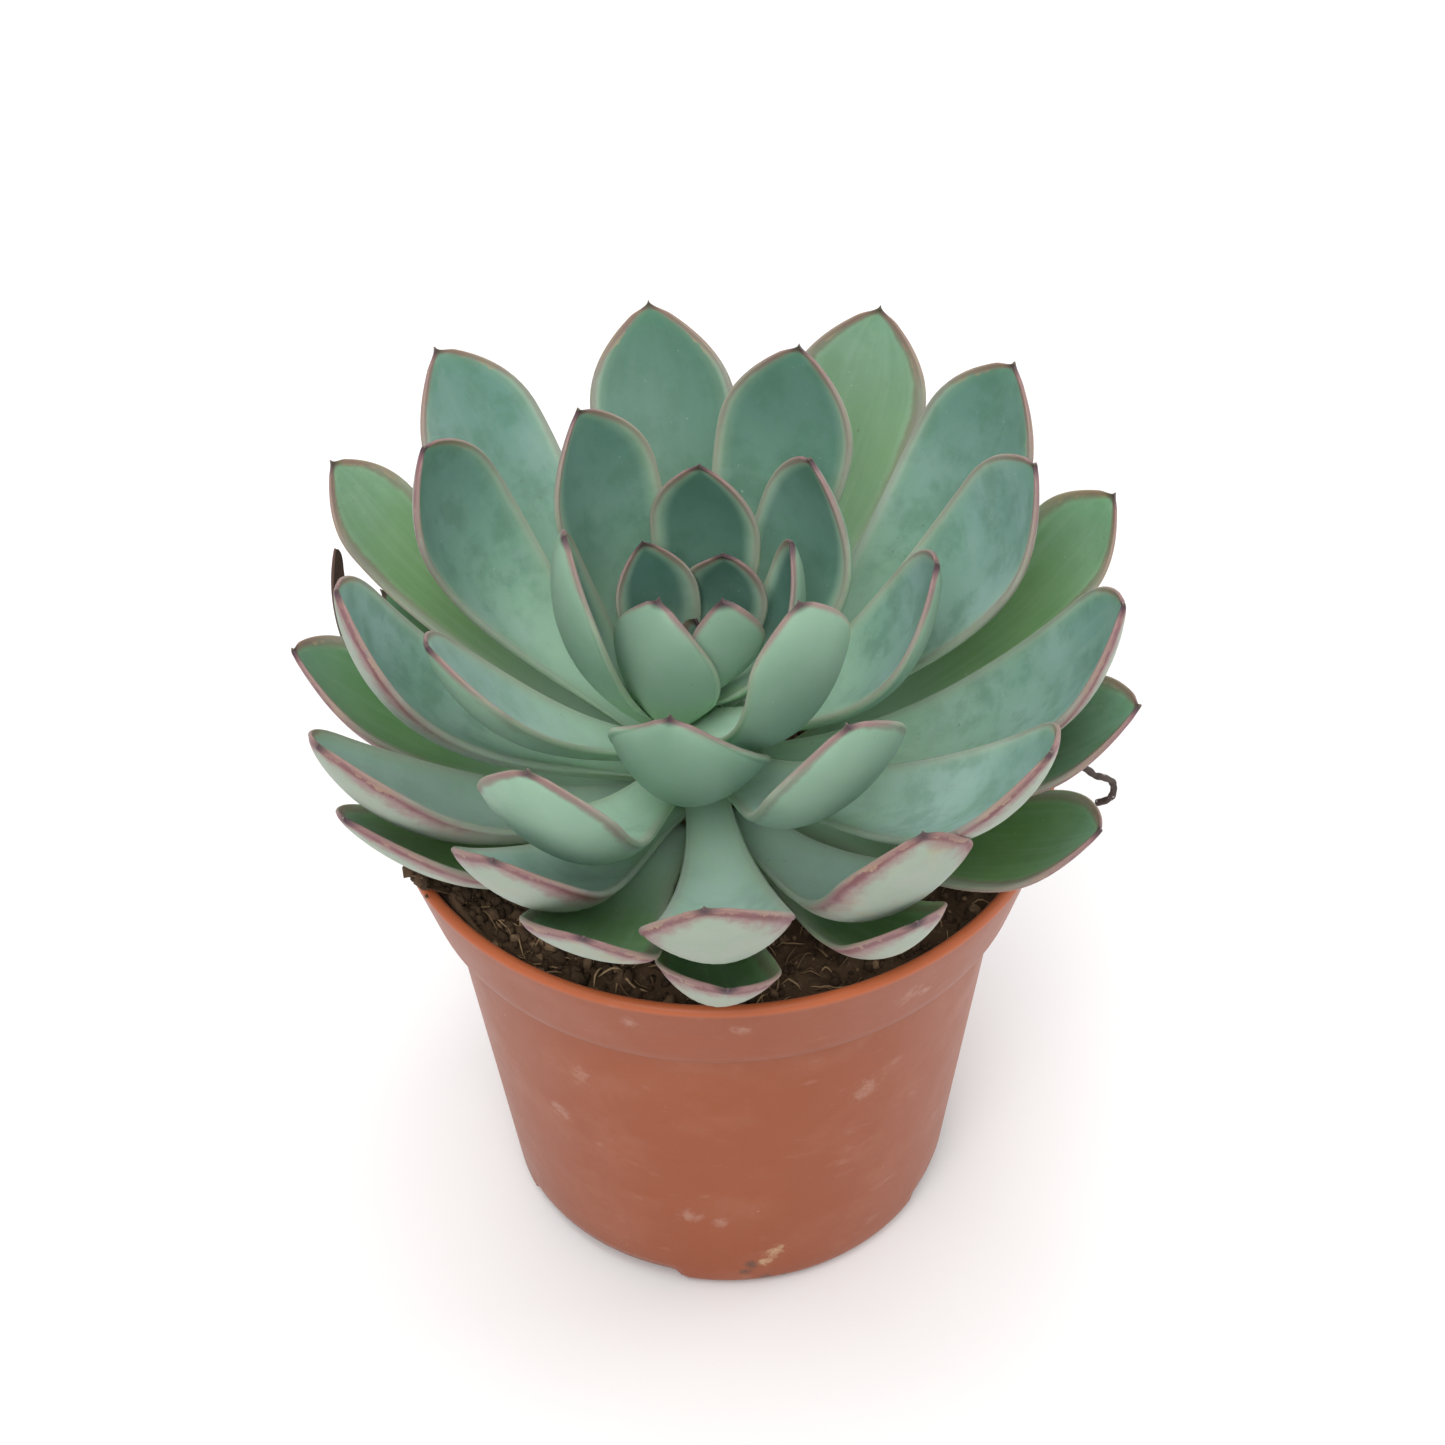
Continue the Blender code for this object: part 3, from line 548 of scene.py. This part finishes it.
def lean(points, root):
    """Carry points from an upright rosette to the leaning stem: tip to the side and to the front,
    then add the foot's place and the stem's slow drift with the height of the root."""
    x, y, z = points[..., 0], points[..., 1], points[..., 2]
    side = x * math.cos(LEAN_SIDE) + z * math.sin(LEAN_SIDE)
    up = z * math.cos(LEAN_SIDE) - x * math.sin(LEAN_SIDE)
    front = y * math.cos(LEAN_FRONT) - up * math.sin(LEAN_FRONT)
    up = y * math.sin(LEAN_FRONT) + up * math.cos(LEAN_FRONT)
    drift = 0.1 * root
    return np.stack([side + STEM_FOOT[0] - drift, front + STEM_FOOT[1] + drift,
                     up + STEM_LEVEL], -1)


def stem_radius(height):
    """The stem thickens downward with its leaves, and is slimmer where cupped roots clasp it."""
    share = np.clip(height, 0, ROSETTE_TOP) / ROSETTE_TOP
    age = OLDEST * (1 - share) ** (1 / HEIGHT_POWER)
    clasp = np.interp(height, (17, 20, 31, 35), (0.15, 1.05, 1.0, 0.25))
    return 2.7 + REACH_GAIN * np.clip(age / REACH_AGE, 0, 1) - clasp


height = np.linspace(STEM_BOTTOM, STEM_TOP, 70)[:, None]
turns = (np.arange(STEM_CORNERS) * math.tau / STEM_CORNERS)[None]
ridge = 0.22 * np.abs(np.sin(height * 1.25 + 1.5 * np.sin(turns * 2 + height * 0.2)))
reach = stem_radius(height) - ridge
upright = np.stack([reach * np.cos(turns), reach * np.sin(turns),
                    np.broadcast_to(height, reach.shape)], -1)
stem = skin("short_stem", lean(upright, height),
            lean(np.array([[0, 0, STEM_BOTTOM]]), STEM_BOTTOM),
            lean(np.array([[0, 0, STEM_TOP]]), STEM_TOP))
bark = Finish("stem_skin", 0.8, 0.3)
bark_tone = bark.blend(bark.noise(4, 4, 0.6), (0.14, 0.10, 0.055), (0.24, 0.22, 0.12))
bark_tone = bark.blend(bark.fade(bark.noise(1.5, 3), 0.55, 0.7), bark_tone, (0.07, 0.04, 0.025))
# Green toward the top, as the stem is there, and painted lighter too: painted light against the
# shade among the leaf roots
bark.colour(bark.blend(bark.fade(bark.level(), 100.0, 112.0), bark_tone, (0.250, 0.420, 0.200)))
bark.bump(bark.noise(1.1, 4, 0.6), 0.2)
stem.data.materials.append(bark.material)
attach(stem, "root")
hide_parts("stem")


# Leaves: thick, cupped and pointed, each a closed surface over shares along and across the leaf.
# Blue-green under a pale waxy bloom, with a paler margin, a thin red line on it and a dark tip;
# old backs are pale with wine-coloured stains. Laws by age, and a row of nudges for each leaf.

# A row for each leaf: its turn about the stem in degrees; how far its rise and curl, in degrees,
# and its length and width, in mm, depart from the laws; then its cup in hundredths, its roll in
# degrees and its sway sideways in hundredths
LEAF_ROWS = (
    (322, -21, 15, 4, -1, -3, -62, 12),
    (33, -15, 6, 2, 0, 7, 45, -1),
    (115, 5, -18, -1, -2, 48, -8, -2),
    (356, -24, 7, 6, 0, 29, 10, 15),
    (247, 13, 23, -4, 2, 27, -17, 0),
    (305, -25, 17, 29, -1, 25, -8, 6),
    (67, -1, 0, 3, -1, 21, 9, 4),
    (189, 5, 14, 5, 0, 38, 4, -8),
    (32, -15, 1, 4, 4, 4, 0, 8),
    (272, -22, 20, 2, 4, 46, -23, -2),
    (124, 7, -6, 7, -1, 40, 15, -5),
    (348, -15, -2, 11, 1, 26, 4, 1),
    (60, -11, -9, 10, 0, 24, 5, 1),
    (208, -3, -7, 6, -5, 36, 4, -1),
    (303, -12, 5, 14, 0, 21, -4, 0),
    (248, -11, 8, 20, -3, 26, -1, 0),
    (6, -7, -3, 18, -1, 25, 6, -2),
    (151, -4, 19, 6, -2, 38, 8, 2),
    (321, -16, -7, 19, -2, 35, 2, 1),
    (196, 1, 11, 11, -1, 36, -1, -2),
    (277, -16, 7, 11, -3, 36, -4, -5),
    (92, -7, -25, -2, -1, 16, -7, 3),
    (348, -13, 5, 10, -1, 34, 0, 1),
    (240, -2, 3, -2, -3, 30, 5, 4),
    (33, -4, -1, 4, 0, 26, 1, 3),
    (129, 4, -12, 0, -1, 26, 15, -3),
    (301, -7, 19, 1, -4, 31, -15, 6),
    (208, 2, 9, 1, -3, 42, 18, -1),
    (345, -5, -18, -3, -2, 31, -4, 2),
    (65, -5, -2, 4, -1, 18, 2, -4),
    (245, 7, 2, -5, -3, 14, 3, 16),
    (180, 3, -4, -8, -3, 30, 14, -5),
    (142, -3, -5, 2, -7, 15, 15, 2),
    (338, -12, -9, -10, -3, 20, -10, -5),
    (19, 3, -1, 3, -7, 39, 8, 1),
    (212, 10, 5, -8, -3, 22, 19, -5),
    (303, 3, 14, -9, -9, 43, -8, -1),
    (267, 7, 9, -12, -7, 59, -5, 11),
    (102, 3, -1, -12, -1, 31, 0, 0),
    (58, -3, -2, -12, -2, 14, 0, 0),
    (148, -2, -20, -18, 0, 28, 0, 0),
    (14, -16, 0, -14, 0, 22, 0, 0),
    (82, -6, -6, -16, -4, 20, 0, 0),
    (122, -6, -6, -18, -5, 20, 0, 0),
)
# The last six leaves are hidden, between and below the oldest of the others
LEAF_AGES = (*range(1, 39), 35.5, 36.5, 37.5, 38.5, 41.5, 42.5)


def leaf_spec(age, turn, rise, curl, length, width, cup, roll, sway):
    """A leaf's numbers at an age, in radians and mm. Older leaves are longer, wider and lower, and
    stand further out. The rise from level falls from 86 degrees to 2 and the curl at the tip from
    100 to 55, each with a power of the age's share of the oldest; the length grows from 20 to 82
    and the width from 12 to 27.5, with powers of the age, until the leaf is full-grown."""
    share = min(max(age / OLDEST, 0.0), 1.0)
    return dict(turn=math.radians(turn), rise=math.radians(86 - 84 * share ** 0.62 + rise),
                curl=math.radians(100 - 45 * share ** 1.2 + curl),
                length=20 + 62 * min(1.0, age / 24) ** 0.85 + length,
                width=12 + 15.5 * min(1.0, age / 16) ** 0.7 + width, cup=cup / 100,
                roll=math.radians(roll), sway=sway / 100,
                height=ROSETTE_TOP * (1 - share) ** HEIGHT_POWER,
                reach=3.0 + REACH_GAIN * min(1.0, age / REACH_AGE),
                fill=min(1.0, 0.55 + 0.075 * max(0.0, age - 6)))


def leaf_points(leaf, along, across, depth):
    """Points of a leaf in mm. The midrib rises at a slope that changes from rise to curl with the
    1.8th power of the share along. The leaf spreads sideways by its half width, lifts toward its
    margins by its cup, and its back lies below its top by its thickness, which falls toward the
    margin. The margin itself is round: half a circle that runs from top to back with the depth."""
    steps = 200
    fine = np.linspace(0, 1, steps + 1)
    slope = leaf["rise"] + (leaf["curl"] - leaf["rise"]) * fine ** 1.8
    walk = [start + np.append(0, np.cumsum((pace[1:] + pace[:-1]) / 2)) * leaf["length"] / steps
            for start, pace in ((leaf["reach"], np.cos(slope)), (leaf["height"], np.sin(slope)))]
    out, up, slope = (np.interp(along, fine, value)[..., None] for value in (*walk, slope))
    outward = np.array([math.cos(leaf["turn"]), math.sin(leaf["turn"]), 0.0])
    sideways = np.array([-math.sin(leaf["turn"]), math.cos(leaf["turn"]), 0.0])
    upward = np.array([0.0, 0.0, 1.0])
    s, u, d = along[..., None], across[..., None], depth[..., None]
    middle = out * outward + up * upward + leaf["sway"] * leaf["length"] * s ** 2 * sideways
    top = np.cos(slope) * upward - np.sin(slope) * outward
    side = np.cos(leaf["roll"] * s) * sideways + np.sin(leaf["roll"] * s) * top
    top = np.cos(leaf["roll"] * s) * top - np.sin(leaf["roll"] * s) * sideways
    wide = leaf_half_width(leaf, s)
    cup = leaf["cup"] * wide * (0.35 + 0.65 * np.sin(math.pi * 0.85 * s + 0.25))
    thick = (0.6 + 0.16 * leaf["width"]) * (0.52 + 0.48 * np.sin(math.pi * np.clip(s * 1.05, 0, 1)))
    thick = thick * np.sqrt(np.clip(1 - s ** 6, 0, 1)) * (1 - 0.35 * s) + 0.3
    edge = leaf_edge(leaf, s, wide)
    belly = (thick - 2 * edge) * d * np.clip(1 - np.abs(u) ** 3, 0, 1) ** 0.62
    back = edge * (1 - np.cos(math.pi * d)) + belly
    spread = (wide - edge) * u + np.sign(u) * edge * np.sin(math.pi * d) * (np.abs(u) > 0.999)
    return lean(middle + spread * side + (cup * np.abs(u) ** 1.8 - back) * top, leaf["height"])


def leaf_edge(leaf, s, wide):
    """Radius of the round margin in mm: more on broad leaves, and less at the tip and the root."""
    fall = np.sqrt(np.clip(1 - s ** 5, 0, 1)) * np.clip(s * 4, 0.2, 1)
    return np.minimum(0.029 * leaf["width"] * fall, 0.3 * wide)


def leaf_half_width(leaf, s):
    """Half the width at a share along: a narrow root, the widest part past the middle, a blunt end
    and a small cusp on it. fill below 1 makes the lower part fuller."""
    from_tip = (1 - s) * leaf["length"] / (leaf["width"] / 2)
    end = 1 - np.clip(1 - from_tip / 1.5, 0, 1) ** 2.2
    near = np.clip(from_tip / 0.20, 0, 1)
    end = end * (0.22 + 0.78 * near * near * (3 - 2 * near))
    shoulder = 1 - 0.75 * leaf["width"] / leaf["length"]
    share = np.clip(s / shoulder, 0, 1) ** leaf["fill"]
    body = 0.32 + 0.68 * share * share * (3 - 2 * share)
    return leaf["width"] / 2 * np.where(s > shoulder, end, body)


# Shares along where a leaf's rings lie, closest at the tip, and shares across its top and back
toward_tip = 1 - (1 - np.linspace(0, 1, 28)[1:-1]) ** 1.6
LEAF_STATIONS = np.concatenate([np.linspace(0, 0.86, 44), 0.86 + 0.14 * toward_tip])
TOP_ACROSS = np.sin(np.linspace(-math.pi / 2, math.pi / 2, 29))
BACK_ACROSS = np.sin(np.linspace(math.pi / 2, -math.pi / 2, 21))[1:-1]
# The corners of the solids' box in mm, which no leaf may pass
cad_limits = [np.array(corner) / MM - POT_MIDDLE for corner in cad_box]


def make_leaf(name, leaf, node, finish, age=0.0, tone=0.0):
    """Build one leaf, with the numbers that its finish reads: distance in mm from the margin and
    from the tip, the shares along and across, which side it is, the leaf's age and its tone. Each
    ring runs over the top, round one margin, back along the underside and round the other."""
    half_round = np.linspace(0, 1, 6)[1:-1]
    margin = len(half_round) + 1
    across = np.concatenate([TOP_ACROSS, [1.0] * margin, BACK_ACROSS, [-1.0] * margin])
    depth = np.concatenate([np.zeros(len(TOP_ACROSS)), half_round, [1.0] * (len(BACK_ACROSS) + 2),
                            half_round[::-1]])
    s, u = np.meshgrid(LEAF_STATIONS, across, indexing="ij")
    d = np.broadcast_to(depth, s.shape)
    rings = np.clip(leaf_points(leaf, s, u, d), *cad_limits)
    root, tip = (leaf_points(leaf, np.array([end]), np.array([0.0]), np.array([0.5]))
                 for end in (0.0, 1.0))
    wide = leaf_half_width(leaf, s)
    way_round = leaf_edge(leaf, s, wide) * 2.4
    rim = wide * (1 - np.abs(u)) + way_round * d
    flags = {"rim": np.append(rim, [wide[0, 0], 0.0]),
             "tip": np.append((1 - s) * leaf["length"], [leaf["length"], 0.0]),
             "along": np.append(s, [0.0, 1.0]), "across": np.append(u, [0.0, 0.0]),
             "back": np.append(d, [0.5, 0.5]),
             "age": np.full(s.size + 2, float(age)), "tone": np.full(s.size + 2, float(tone))}
    piece = skin(name, rings, root, tip, flags)
    piece.data.materials.append(finish.material)
    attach(piece, "root")
    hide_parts(node)


def leaf_finish(name):
    """Leaf colour in layers. The top runs from pale green at the root to blue-green at the tip,
    under a bloom in soft patches, darker mottles and faint lengthwise streaks, with a dark middle
    on young leaves and a fresh green on the oldest. The back is green on young leaves and pale
    with tan patches on old ones, where a ragged wine line and a softer stain run below the margin.
    Top and back are painted lighter still toward the root: painted light, for the glow through the
    leaf and against the shade between the roots. A pale band and a thin red line follow the margin
    of every leaf, and every tip is dark. Corky scars lie by old tips, and small specks, dark and
    pale, here and there."""
    f = Finish(name, 0.5, 0.35)
    rim, tip, along, across, back, age, tone = (
        f.flag(n) for n in ("rim", "tip", "along", "across", "back", "age", "tone"))
    old = f.fade(age, 27.0, 30.0)
    outer = f.fade(age, 16.5, 19.0)
    young = f.fade(age, 16.0, 8.0)
    patch = f.fade(f.combine("ADD", f.noise(15, 4, 0.55), f.times(tone, 0.12)), 0.34, 0.74)
    top = f.blend(f.fade(along, 0.25, 0.85), (0.315, 0.500, 0.362), (0.168, 0.315, 0.272))
    top = f.blend(f.times(patch, 0.6), top, (0.325, 0.450, 0.430))
    mottle = f.times(f.fade(f.noise(7, 5, 0.62), 0.42, 0.66), 0.44)
    top = f.blend(mottle, top, (0.085, 0.195, 0.125))
    fresh = f.blend(f.noise(9, 4, 0.6), (0.085, 0.205, 0.055), (0.155, 0.300, 0.100))
    top = f.blend(f.times(old, f.fade(along, 1.25, 0.65)), top, fresh)
    middle = f.times(f.fade(rim, 0.6, 3.4), f.fade(age, 15.0, 5.0))
    top = f.blend(f.times(middle, 0.78), top, (0.050, 0.130, 0.098))
    # Paler toward the root, as the leaf is, and painted much lighter still: painted light for the
    # glow through the leaf and against the shade between the roots
    root = f.times(f.fade(along, 0.55, 0.12), f.fade(age, 48.0, 28.0))
    top = f.blend(f.times(root, 0.95), top, (0.520, 0.750, 0.580))
    streak = f.fade(f.lengthwise(along, across, age), 0.42, 0.75)
    streak = f.times(streak, f.times(outer, 0.10))
    top = f.blend(streak, top, (0.420, 0.520, 0.440))
    deep = f.times(f.fade(tone, 0.0, -2.0), 0.7)
    top = f.blend(deep, top, (0.050, 0.140, 0.085))
    bloom = f.times(f.fade(tone, 0.0, 2.0), 0.6)
    top = f.blend(bloom, top, (0.400, 0.540, 0.490))
    aged = f.times(f.combine("MAXIMUM", young, old), 0.25)
    halo = f.times(f.fade(rim, 3.4, 0.6), f.combine("ADD", aged, 0.20))
    top = f.blend(halo, top, (0.340, 0.440, 0.300))
    inner_back = f.blend(f.noise(11, 4, 0.6), (0.203, 0.330, 0.241), (0.288, 0.424, 0.323))
    outer_back = f.blend(f.noise(9, 4, 0.6), (0.240, 0.310, 0.245), (0.345, 0.370, 0.310))
    under = f.blend(outer, inner_back, outer_back)
    # Paler toward the root on the back too, as the leaf is, and painted lighter still: painted
    # light for the glow through the leaf
    under = f.blend(f.times(f.fade(along, 0.5, 0.12), 0.7), under, (0.370, 0.560, 0.340))
    tan = f.times(f.fade(f.noise(6, 4, 0.6), 0.54, 0.70), f.fade(age, 20.0, 28.0))
    under = f.blend(f.times(tan, 0.45), under, (0.360, 0.300, 0.180))
    whole = f.blend(back, top, under)
    speck = f.fade(f.noise(1.1, 2, 0.5), 0.71, 0.77)
    speck = f.times(speck, f.fade(f.noise(7, 2), 0.45, 0.6))
    whole = f.blend(f.times(speck, 0.55), whole, (0.120, 0.150, 0.090))
    pale_speck = f.fade(f.noise(0.7, 2, 0.5), 0.74, 0.80)
    whole = f.blend(f.times(pale_speck, 0.5), whole, (0.520, 0.580, 0.520))
    band = f.times(f.fade(rim, 1.7, 0.4), f.fade(along, 0.1, 0.5))
    band_tint = f.blend(outer, (0.345, 0.375, 0.290), (0.365, 0.425, 0.355))
    whole = f.blend(f.times(band, 0.6), whole, band_tint)
    stain = f.combine("SUBTRACT", rim, f.times(f.noise(3.2, 5, 0.72), 6.5))
    stain = f.times(f.fade(stain, 2.0, -1.6), f.times(f.fade(tip, 46.0, 12.0), back))
    stain = f.times(stain, f.times(outer, 0.80))
    whole = f.blend(stain, whole, (0.265, 0.135, 0.145))
    wine = f.combine("SUBTRACT", rim, f.times(f.noise(4, 5, 0.66), 2.0))
    wine = f.times(f.fade(wine, 1.5, 0.3), f.fade(rim, 0.25, 0.8))
    wine = f.times(wine, f.fade(age, 12.0, 18.0))
    wine = f.times(wine, f.fade(tip, 50.0, 16.0))
    wine = f.times(wine, f.combine("MAXIMUM", back, f.times(old, 0.55)))
    whole = f.blend(f.times(wine, 0.88), whole, (0.165, 0.055, 0.066))
    scar = f.combine("SUBTRACT", rim, f.times(f.noise(2.4, 4, 0.6), 4.2))
    scar = f.times(f.fade(scar, -0.9, -1.3), f.times(f.fade(tip, 14.0, 8.0), outer))
    whole = f.blend(f.times(scar, 0.6), whole, (0.420, 0.300, 0.200))
    wide = f.times(f.noise(5, 3), 0.8)
    wide = f.combine("ADD", wide, f.times(f.fade(tip, 14.0, 3.0), 0.6))
    line = f.fade(f.combine("SUBTRACT", rim, wide), 0.60, -0.30)
    line = f.times(line, f.combine("ADD", f.times(f.fade(along, 0.50, 0.92), 0.45), 0.17))
    red = f.blend(outer, (0.225, 0.115, 0.130), (0.195, 0.108, 0.124))
    whole = f.blend(line, whole, red)
    blush = f.times(f.fade(tip, 9.0, 1.5), f.fade(rim, 2.2, 0.5))
    whole = f.blend(f.times(blush, 0.6), whole, (0.225, 0.100, 0.118))
    whole = f.blend(f.fade(tip, 2.3, 0.8), whole, (0.066, 0.032, 0.046))
    f.colour(whole)
    f.gloss(patch, 0.46, 0.62)
    f.bump(f.noise(1.8, 4, 0.55), 0.04)
    f.shader.inputs["Subsurface Weight"].default_value = 0.40
    f.shader.inputs["Subsurface Radius"].default_value = (0.8, 1.3, 0.5)
    f.shader.inputs["Subsurface Scale"].default_value = 0.003
    return f


leaf_skin = leaf_finish("leaf_skin")
# Leaves with more bloom than usual (above 0) or less (below 0)
LEAF_TONES = {7: -0.6, 9: -0.7, 11: -0.9, 13: -1.2, 14: 1.0, 15: 1.2, 18: -0.7, 19: 0.5,
              21: 1.1, 22: -1.9, 24: 0.9, 25: -0.9, 26: -0.8, 27: 1.5, 28: 1.5, 30: 0.8,
              31: 0.5, 32: -0.9, 33: 0.5, 35: 0.5, 37: 0.3, 38: 0.5}
for number, (age, row) in enumerate(zip(LEAF_AGES, LEAF_ROWS), 1):
    make_leaf(f"rosette_leaf_{number:02d}", leaf_spec(age, *row), f"leaf_{number:02d}", leaf_skin,
              age, LEAF_TONES.get(number, 0))


# Bud: the three youngest leaves, upright on the stem's top inside the rosette. Made as the other
# leaves are, but narrow, with the colours of age 0: dark in the middle, with dark tips.
BUD_ROWS = ((40, 70, 82, 13), (160, 80, 88, 11), (280, 80, 88, 10))    # turn, rise, curl, length
bud_skin = leaf_finish("bud_skin")
for number, (turn, rise, curl, length) in enumerate(BUD_ROWS, 1):
    bud = dict(turn=math.radians(turn), rise=math.radians(rise), curl=math.radians(curl),
               length=length, width=5.0, cup=0.3, roll=0.0, sway=0.0, height=36.6, reach=1.6,
               fill=1.0)
    make_leaf(f"centre_leaf_{number}", bud, f"bud_leaf_{number}", bud_skin)


# Dried leaf: an old leaf at the foot of the rosette, withered to a narrow strip, dull green below
# and dark at its tip, which shows behind the left side. Made as a leaf is, with its own finish.
withered = Finish("withered_leaf", 0.8, 0.3)
withered_tone = withered.blend(withered.noise(6, 4, 0.6, (1, 1, 0.3)),
                               (0.030, 0.014, 0.014), (0.13, 0.075, 0.055))
green_part = withered.fade(withered.flag("along"), 0.90, 0.80)
withered.colour(withered.blend(green_part, withered_tone, (0.090, 0.135, 0.060)))
withered.bump(withered.noise(1.2, 4, 0.6), 0.4)
dry = dict(turn=math.radians(177), rise=math.radians(8), curl=math.radians(102), length=80.5,
           width=7.0, cup=0.28, roll=math.radians(-8), sway=-0.3, height=2.0, reach=9.7,
           fill=1.0)
make_leaf("withered_leaf", dry, "dried_leaf", withered)


# Flower stalk: the dry rest of an old flower stem, thin and dark, that comes out between the
# leaves at the right and ends in a small hook. A round profile along a smooth curve through
# these points, which are in mm from the pot's own middle.
STALK_PATH = np.array((
    (6.5, -6.5, 103), (8.5, -6, 104), (14, -5, 106), (17, -5, 106.5), (26.5, -5.5, 106.5),
    (30, -6, 106.5), (35, -7, 106.5), (41.5, -8.5, 107), (48.5, -10, 108), (56, -12, 108.5),
    (61.5, -13.5, 108), (64, -14, 107), (65.5, -14, 105.5), (67, -14, 105), (68.5, -14, 104),
    (69, -14, 102.5), (68.8, -14, 100.5), (68, -13, 98.5), (66.6, -12, 97)))
STALK_RADIUS = 0.62


def smooth_path(points, per_span):
    """A curve through the points: between two of them it is a cubic whose slope at each is half the
    step between that point's neighbours."""
    padded = np.concatenate([[2 * points[0] - points[1]], points, [2 * points[-1] - points[-2]]])
    t = np.linspace(0, 1, per_span, endpoint=False)[None, :, None]
    a, b, c, d = (padded[k:len(points) - 1 + k][:, None] for k in range(4))
    run = 0.5 * (2 * b + (c - a) * t + (2 * a - 5 * b + 4 * c - d) * t ** 2
                 + (3 * b - a - 3 * c + d) * t ** 3)
    return np.concatenate([run.reshape(-1, 3), points[-1:]])


def tube_rings(path, radius, corners):
    """Rings of points round a path: each ring lies square to the path, measured from a side
    direction that is level and an upper direction square to both."""
    ahead = np.gradient(path, axis=0)
    ahead /= np.linalg.norm(ahead, axis=1)[:, None]
    side = np.cross(ahead, [0.0, 1.0, 0.0])
    side /= np.linalg.norm(side, axis=1)[:, None]
    up = np.cross(side, ahead)
    turns = np.arange(corners) * math.tau / corners
    radius = np.broadcast_to(radius, len(path))[:, None, None]
    return (path[:, None] + radius * (np.cos(turns)[None, :, None] * side[:, None]
                                      + np.sin(turns)[None, :, None] * up[:, None]))


stalk_line = smooth_path(STALK_PATH, per_span=6)
step = np.arange(len(stalk_line))
stalk_wide = STALK_RADIUS + 0.09 * np.sin(step * 0.9) * np.sin(step * 0.23 + 1)
stalk = skin("flower_stalk", tube_rings(stalk_line, stalk_wide, corners=14),
             stalk_line[0], stalk_line[-1])
dry_stalk = Finish("dry_stalk", 0.9, 0.2)
dry_tone = dry_stalk.blend(dry_stalk.noise(2.5, 4, 0.6), (0.030, 0.022, 0.020), (0.14, 0.11, 0.10))
pale_bits = dry_stalk.fade(dry_stalk.noise(1.0, 3), 0.62, 0.72)
dry_stalk.colour(dry_stalk.blend(pale_bits, dry_tone, (0.45, 0.43, 0.40)))
dry_stalk.bump(dry_stalk.noise(0.9, 4, 0.6), 0.2)
stalk.data.materials.append(dry_stalk.material)
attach(stalk, "root")
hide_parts("dried_stalk")


# Studio: a plain pale floor, even white light from all round and three large soft lamps, above,
# in front and at the right, and the camera at the photograph's height, distance and small roll.
floor_mesh = bpy.data.meshes.new("floor")
floor_mesh.from_pydata([(-6, -6, 0), (6, -6, 0), (6, 6, 0), (-6, 6, 0)], [], [(0, 1, 2, 3)])
floor = bpy.data.objects.new("floor", floor_mesh)
bpy.context.scene.collection.objects.link(floor)
paper = Finish("white_paper", 0.9, 0.1)
paper.shader.inputs["Base Color"].default_value = (0.85, 0.85, 0.85, 1.0)
floor.data.materials.append(paper.material)

world = bpy.data.worlds.new("studio")
world.use_nodes = True
world.node_tree.nodes["Background"].inputs["Color"].default_value = (1.0, 1.0, 1.0, 1.0)
world.node_tree.nodes["Background"].inputs["Strength"].default_value = 0.48
bpy.context.scene.world = world
bpy.context.scene.view_settings.view_transform = "Standard"


def soft_lamp(name, place, size, power):
    """A square lamp at a place, all in metres and watts, turned to face the plant's middle."""
    data = bpy.data.lights.new(name, "AREA")
    data.shape = "SQUARE"
    data.size = size
    data.energy = power
    lamp = bpy.data.objects.new(name, data)
    lamp.location = place
    toward = Vector((0, 0, 0.1)) - Vector(place)
    lamp.rotation_euler = toward.to_track_quat("-Z", "Y").to_euler()
    bpy.context.scene.collection.objects.link(lamp)


soft_lamp("overhead", (-0.2, 0.2, 2.6), size=2.2, power=42.0)
soft_lamp("front", (-0.3, -1.7, 2.1), size=1.6, power=46.0)
soft_lamp("side", (1.6, 0.5, 0.6), size=1.0, power=9.0)

# The camera looks down by TILT, from AWAY mm off, at a point in mm from the pot's own middle
TILT, ROLL = math.radians(41.96), math.radians(-1.37)
LOOKED_AT = (0.49, 0.0, 107.47)
AWAY = 600
target = Vector([value * MM for value in LOOKED_AT]) + Vector(POT_MIDDLE) * MM
back_axis = Vector((0, -math.cos(TILT), math.sin(TILT)))
level_up = Vector((0, math.sin(TILT), math.cos(TILT)))
right = Vector((math.cos(ROLL), 0, 0)) + level_up * math.sin(ROLL)
up = Vector((-math.sin(ROLL), 0, 0)) + level_up * math.cos(ROLL)
camera_data = bpy.data.cameras.new("camera")
camera_data.lens = 84.0
camera_data.sensor_width = 36.0
camera_data.clip_start = 0.01
camera = bpy.data.objects.new("camera", camera_data)
turned = Matrix((right, up, back_axis)).transposed().to_4x4()
camera.matrix_world = Matrix.Translation(target + back_axis * AWAY * MM) @ turned
bpy.context.scene.collection.objects.link(camera)
bpy.context.scene.camera = camera
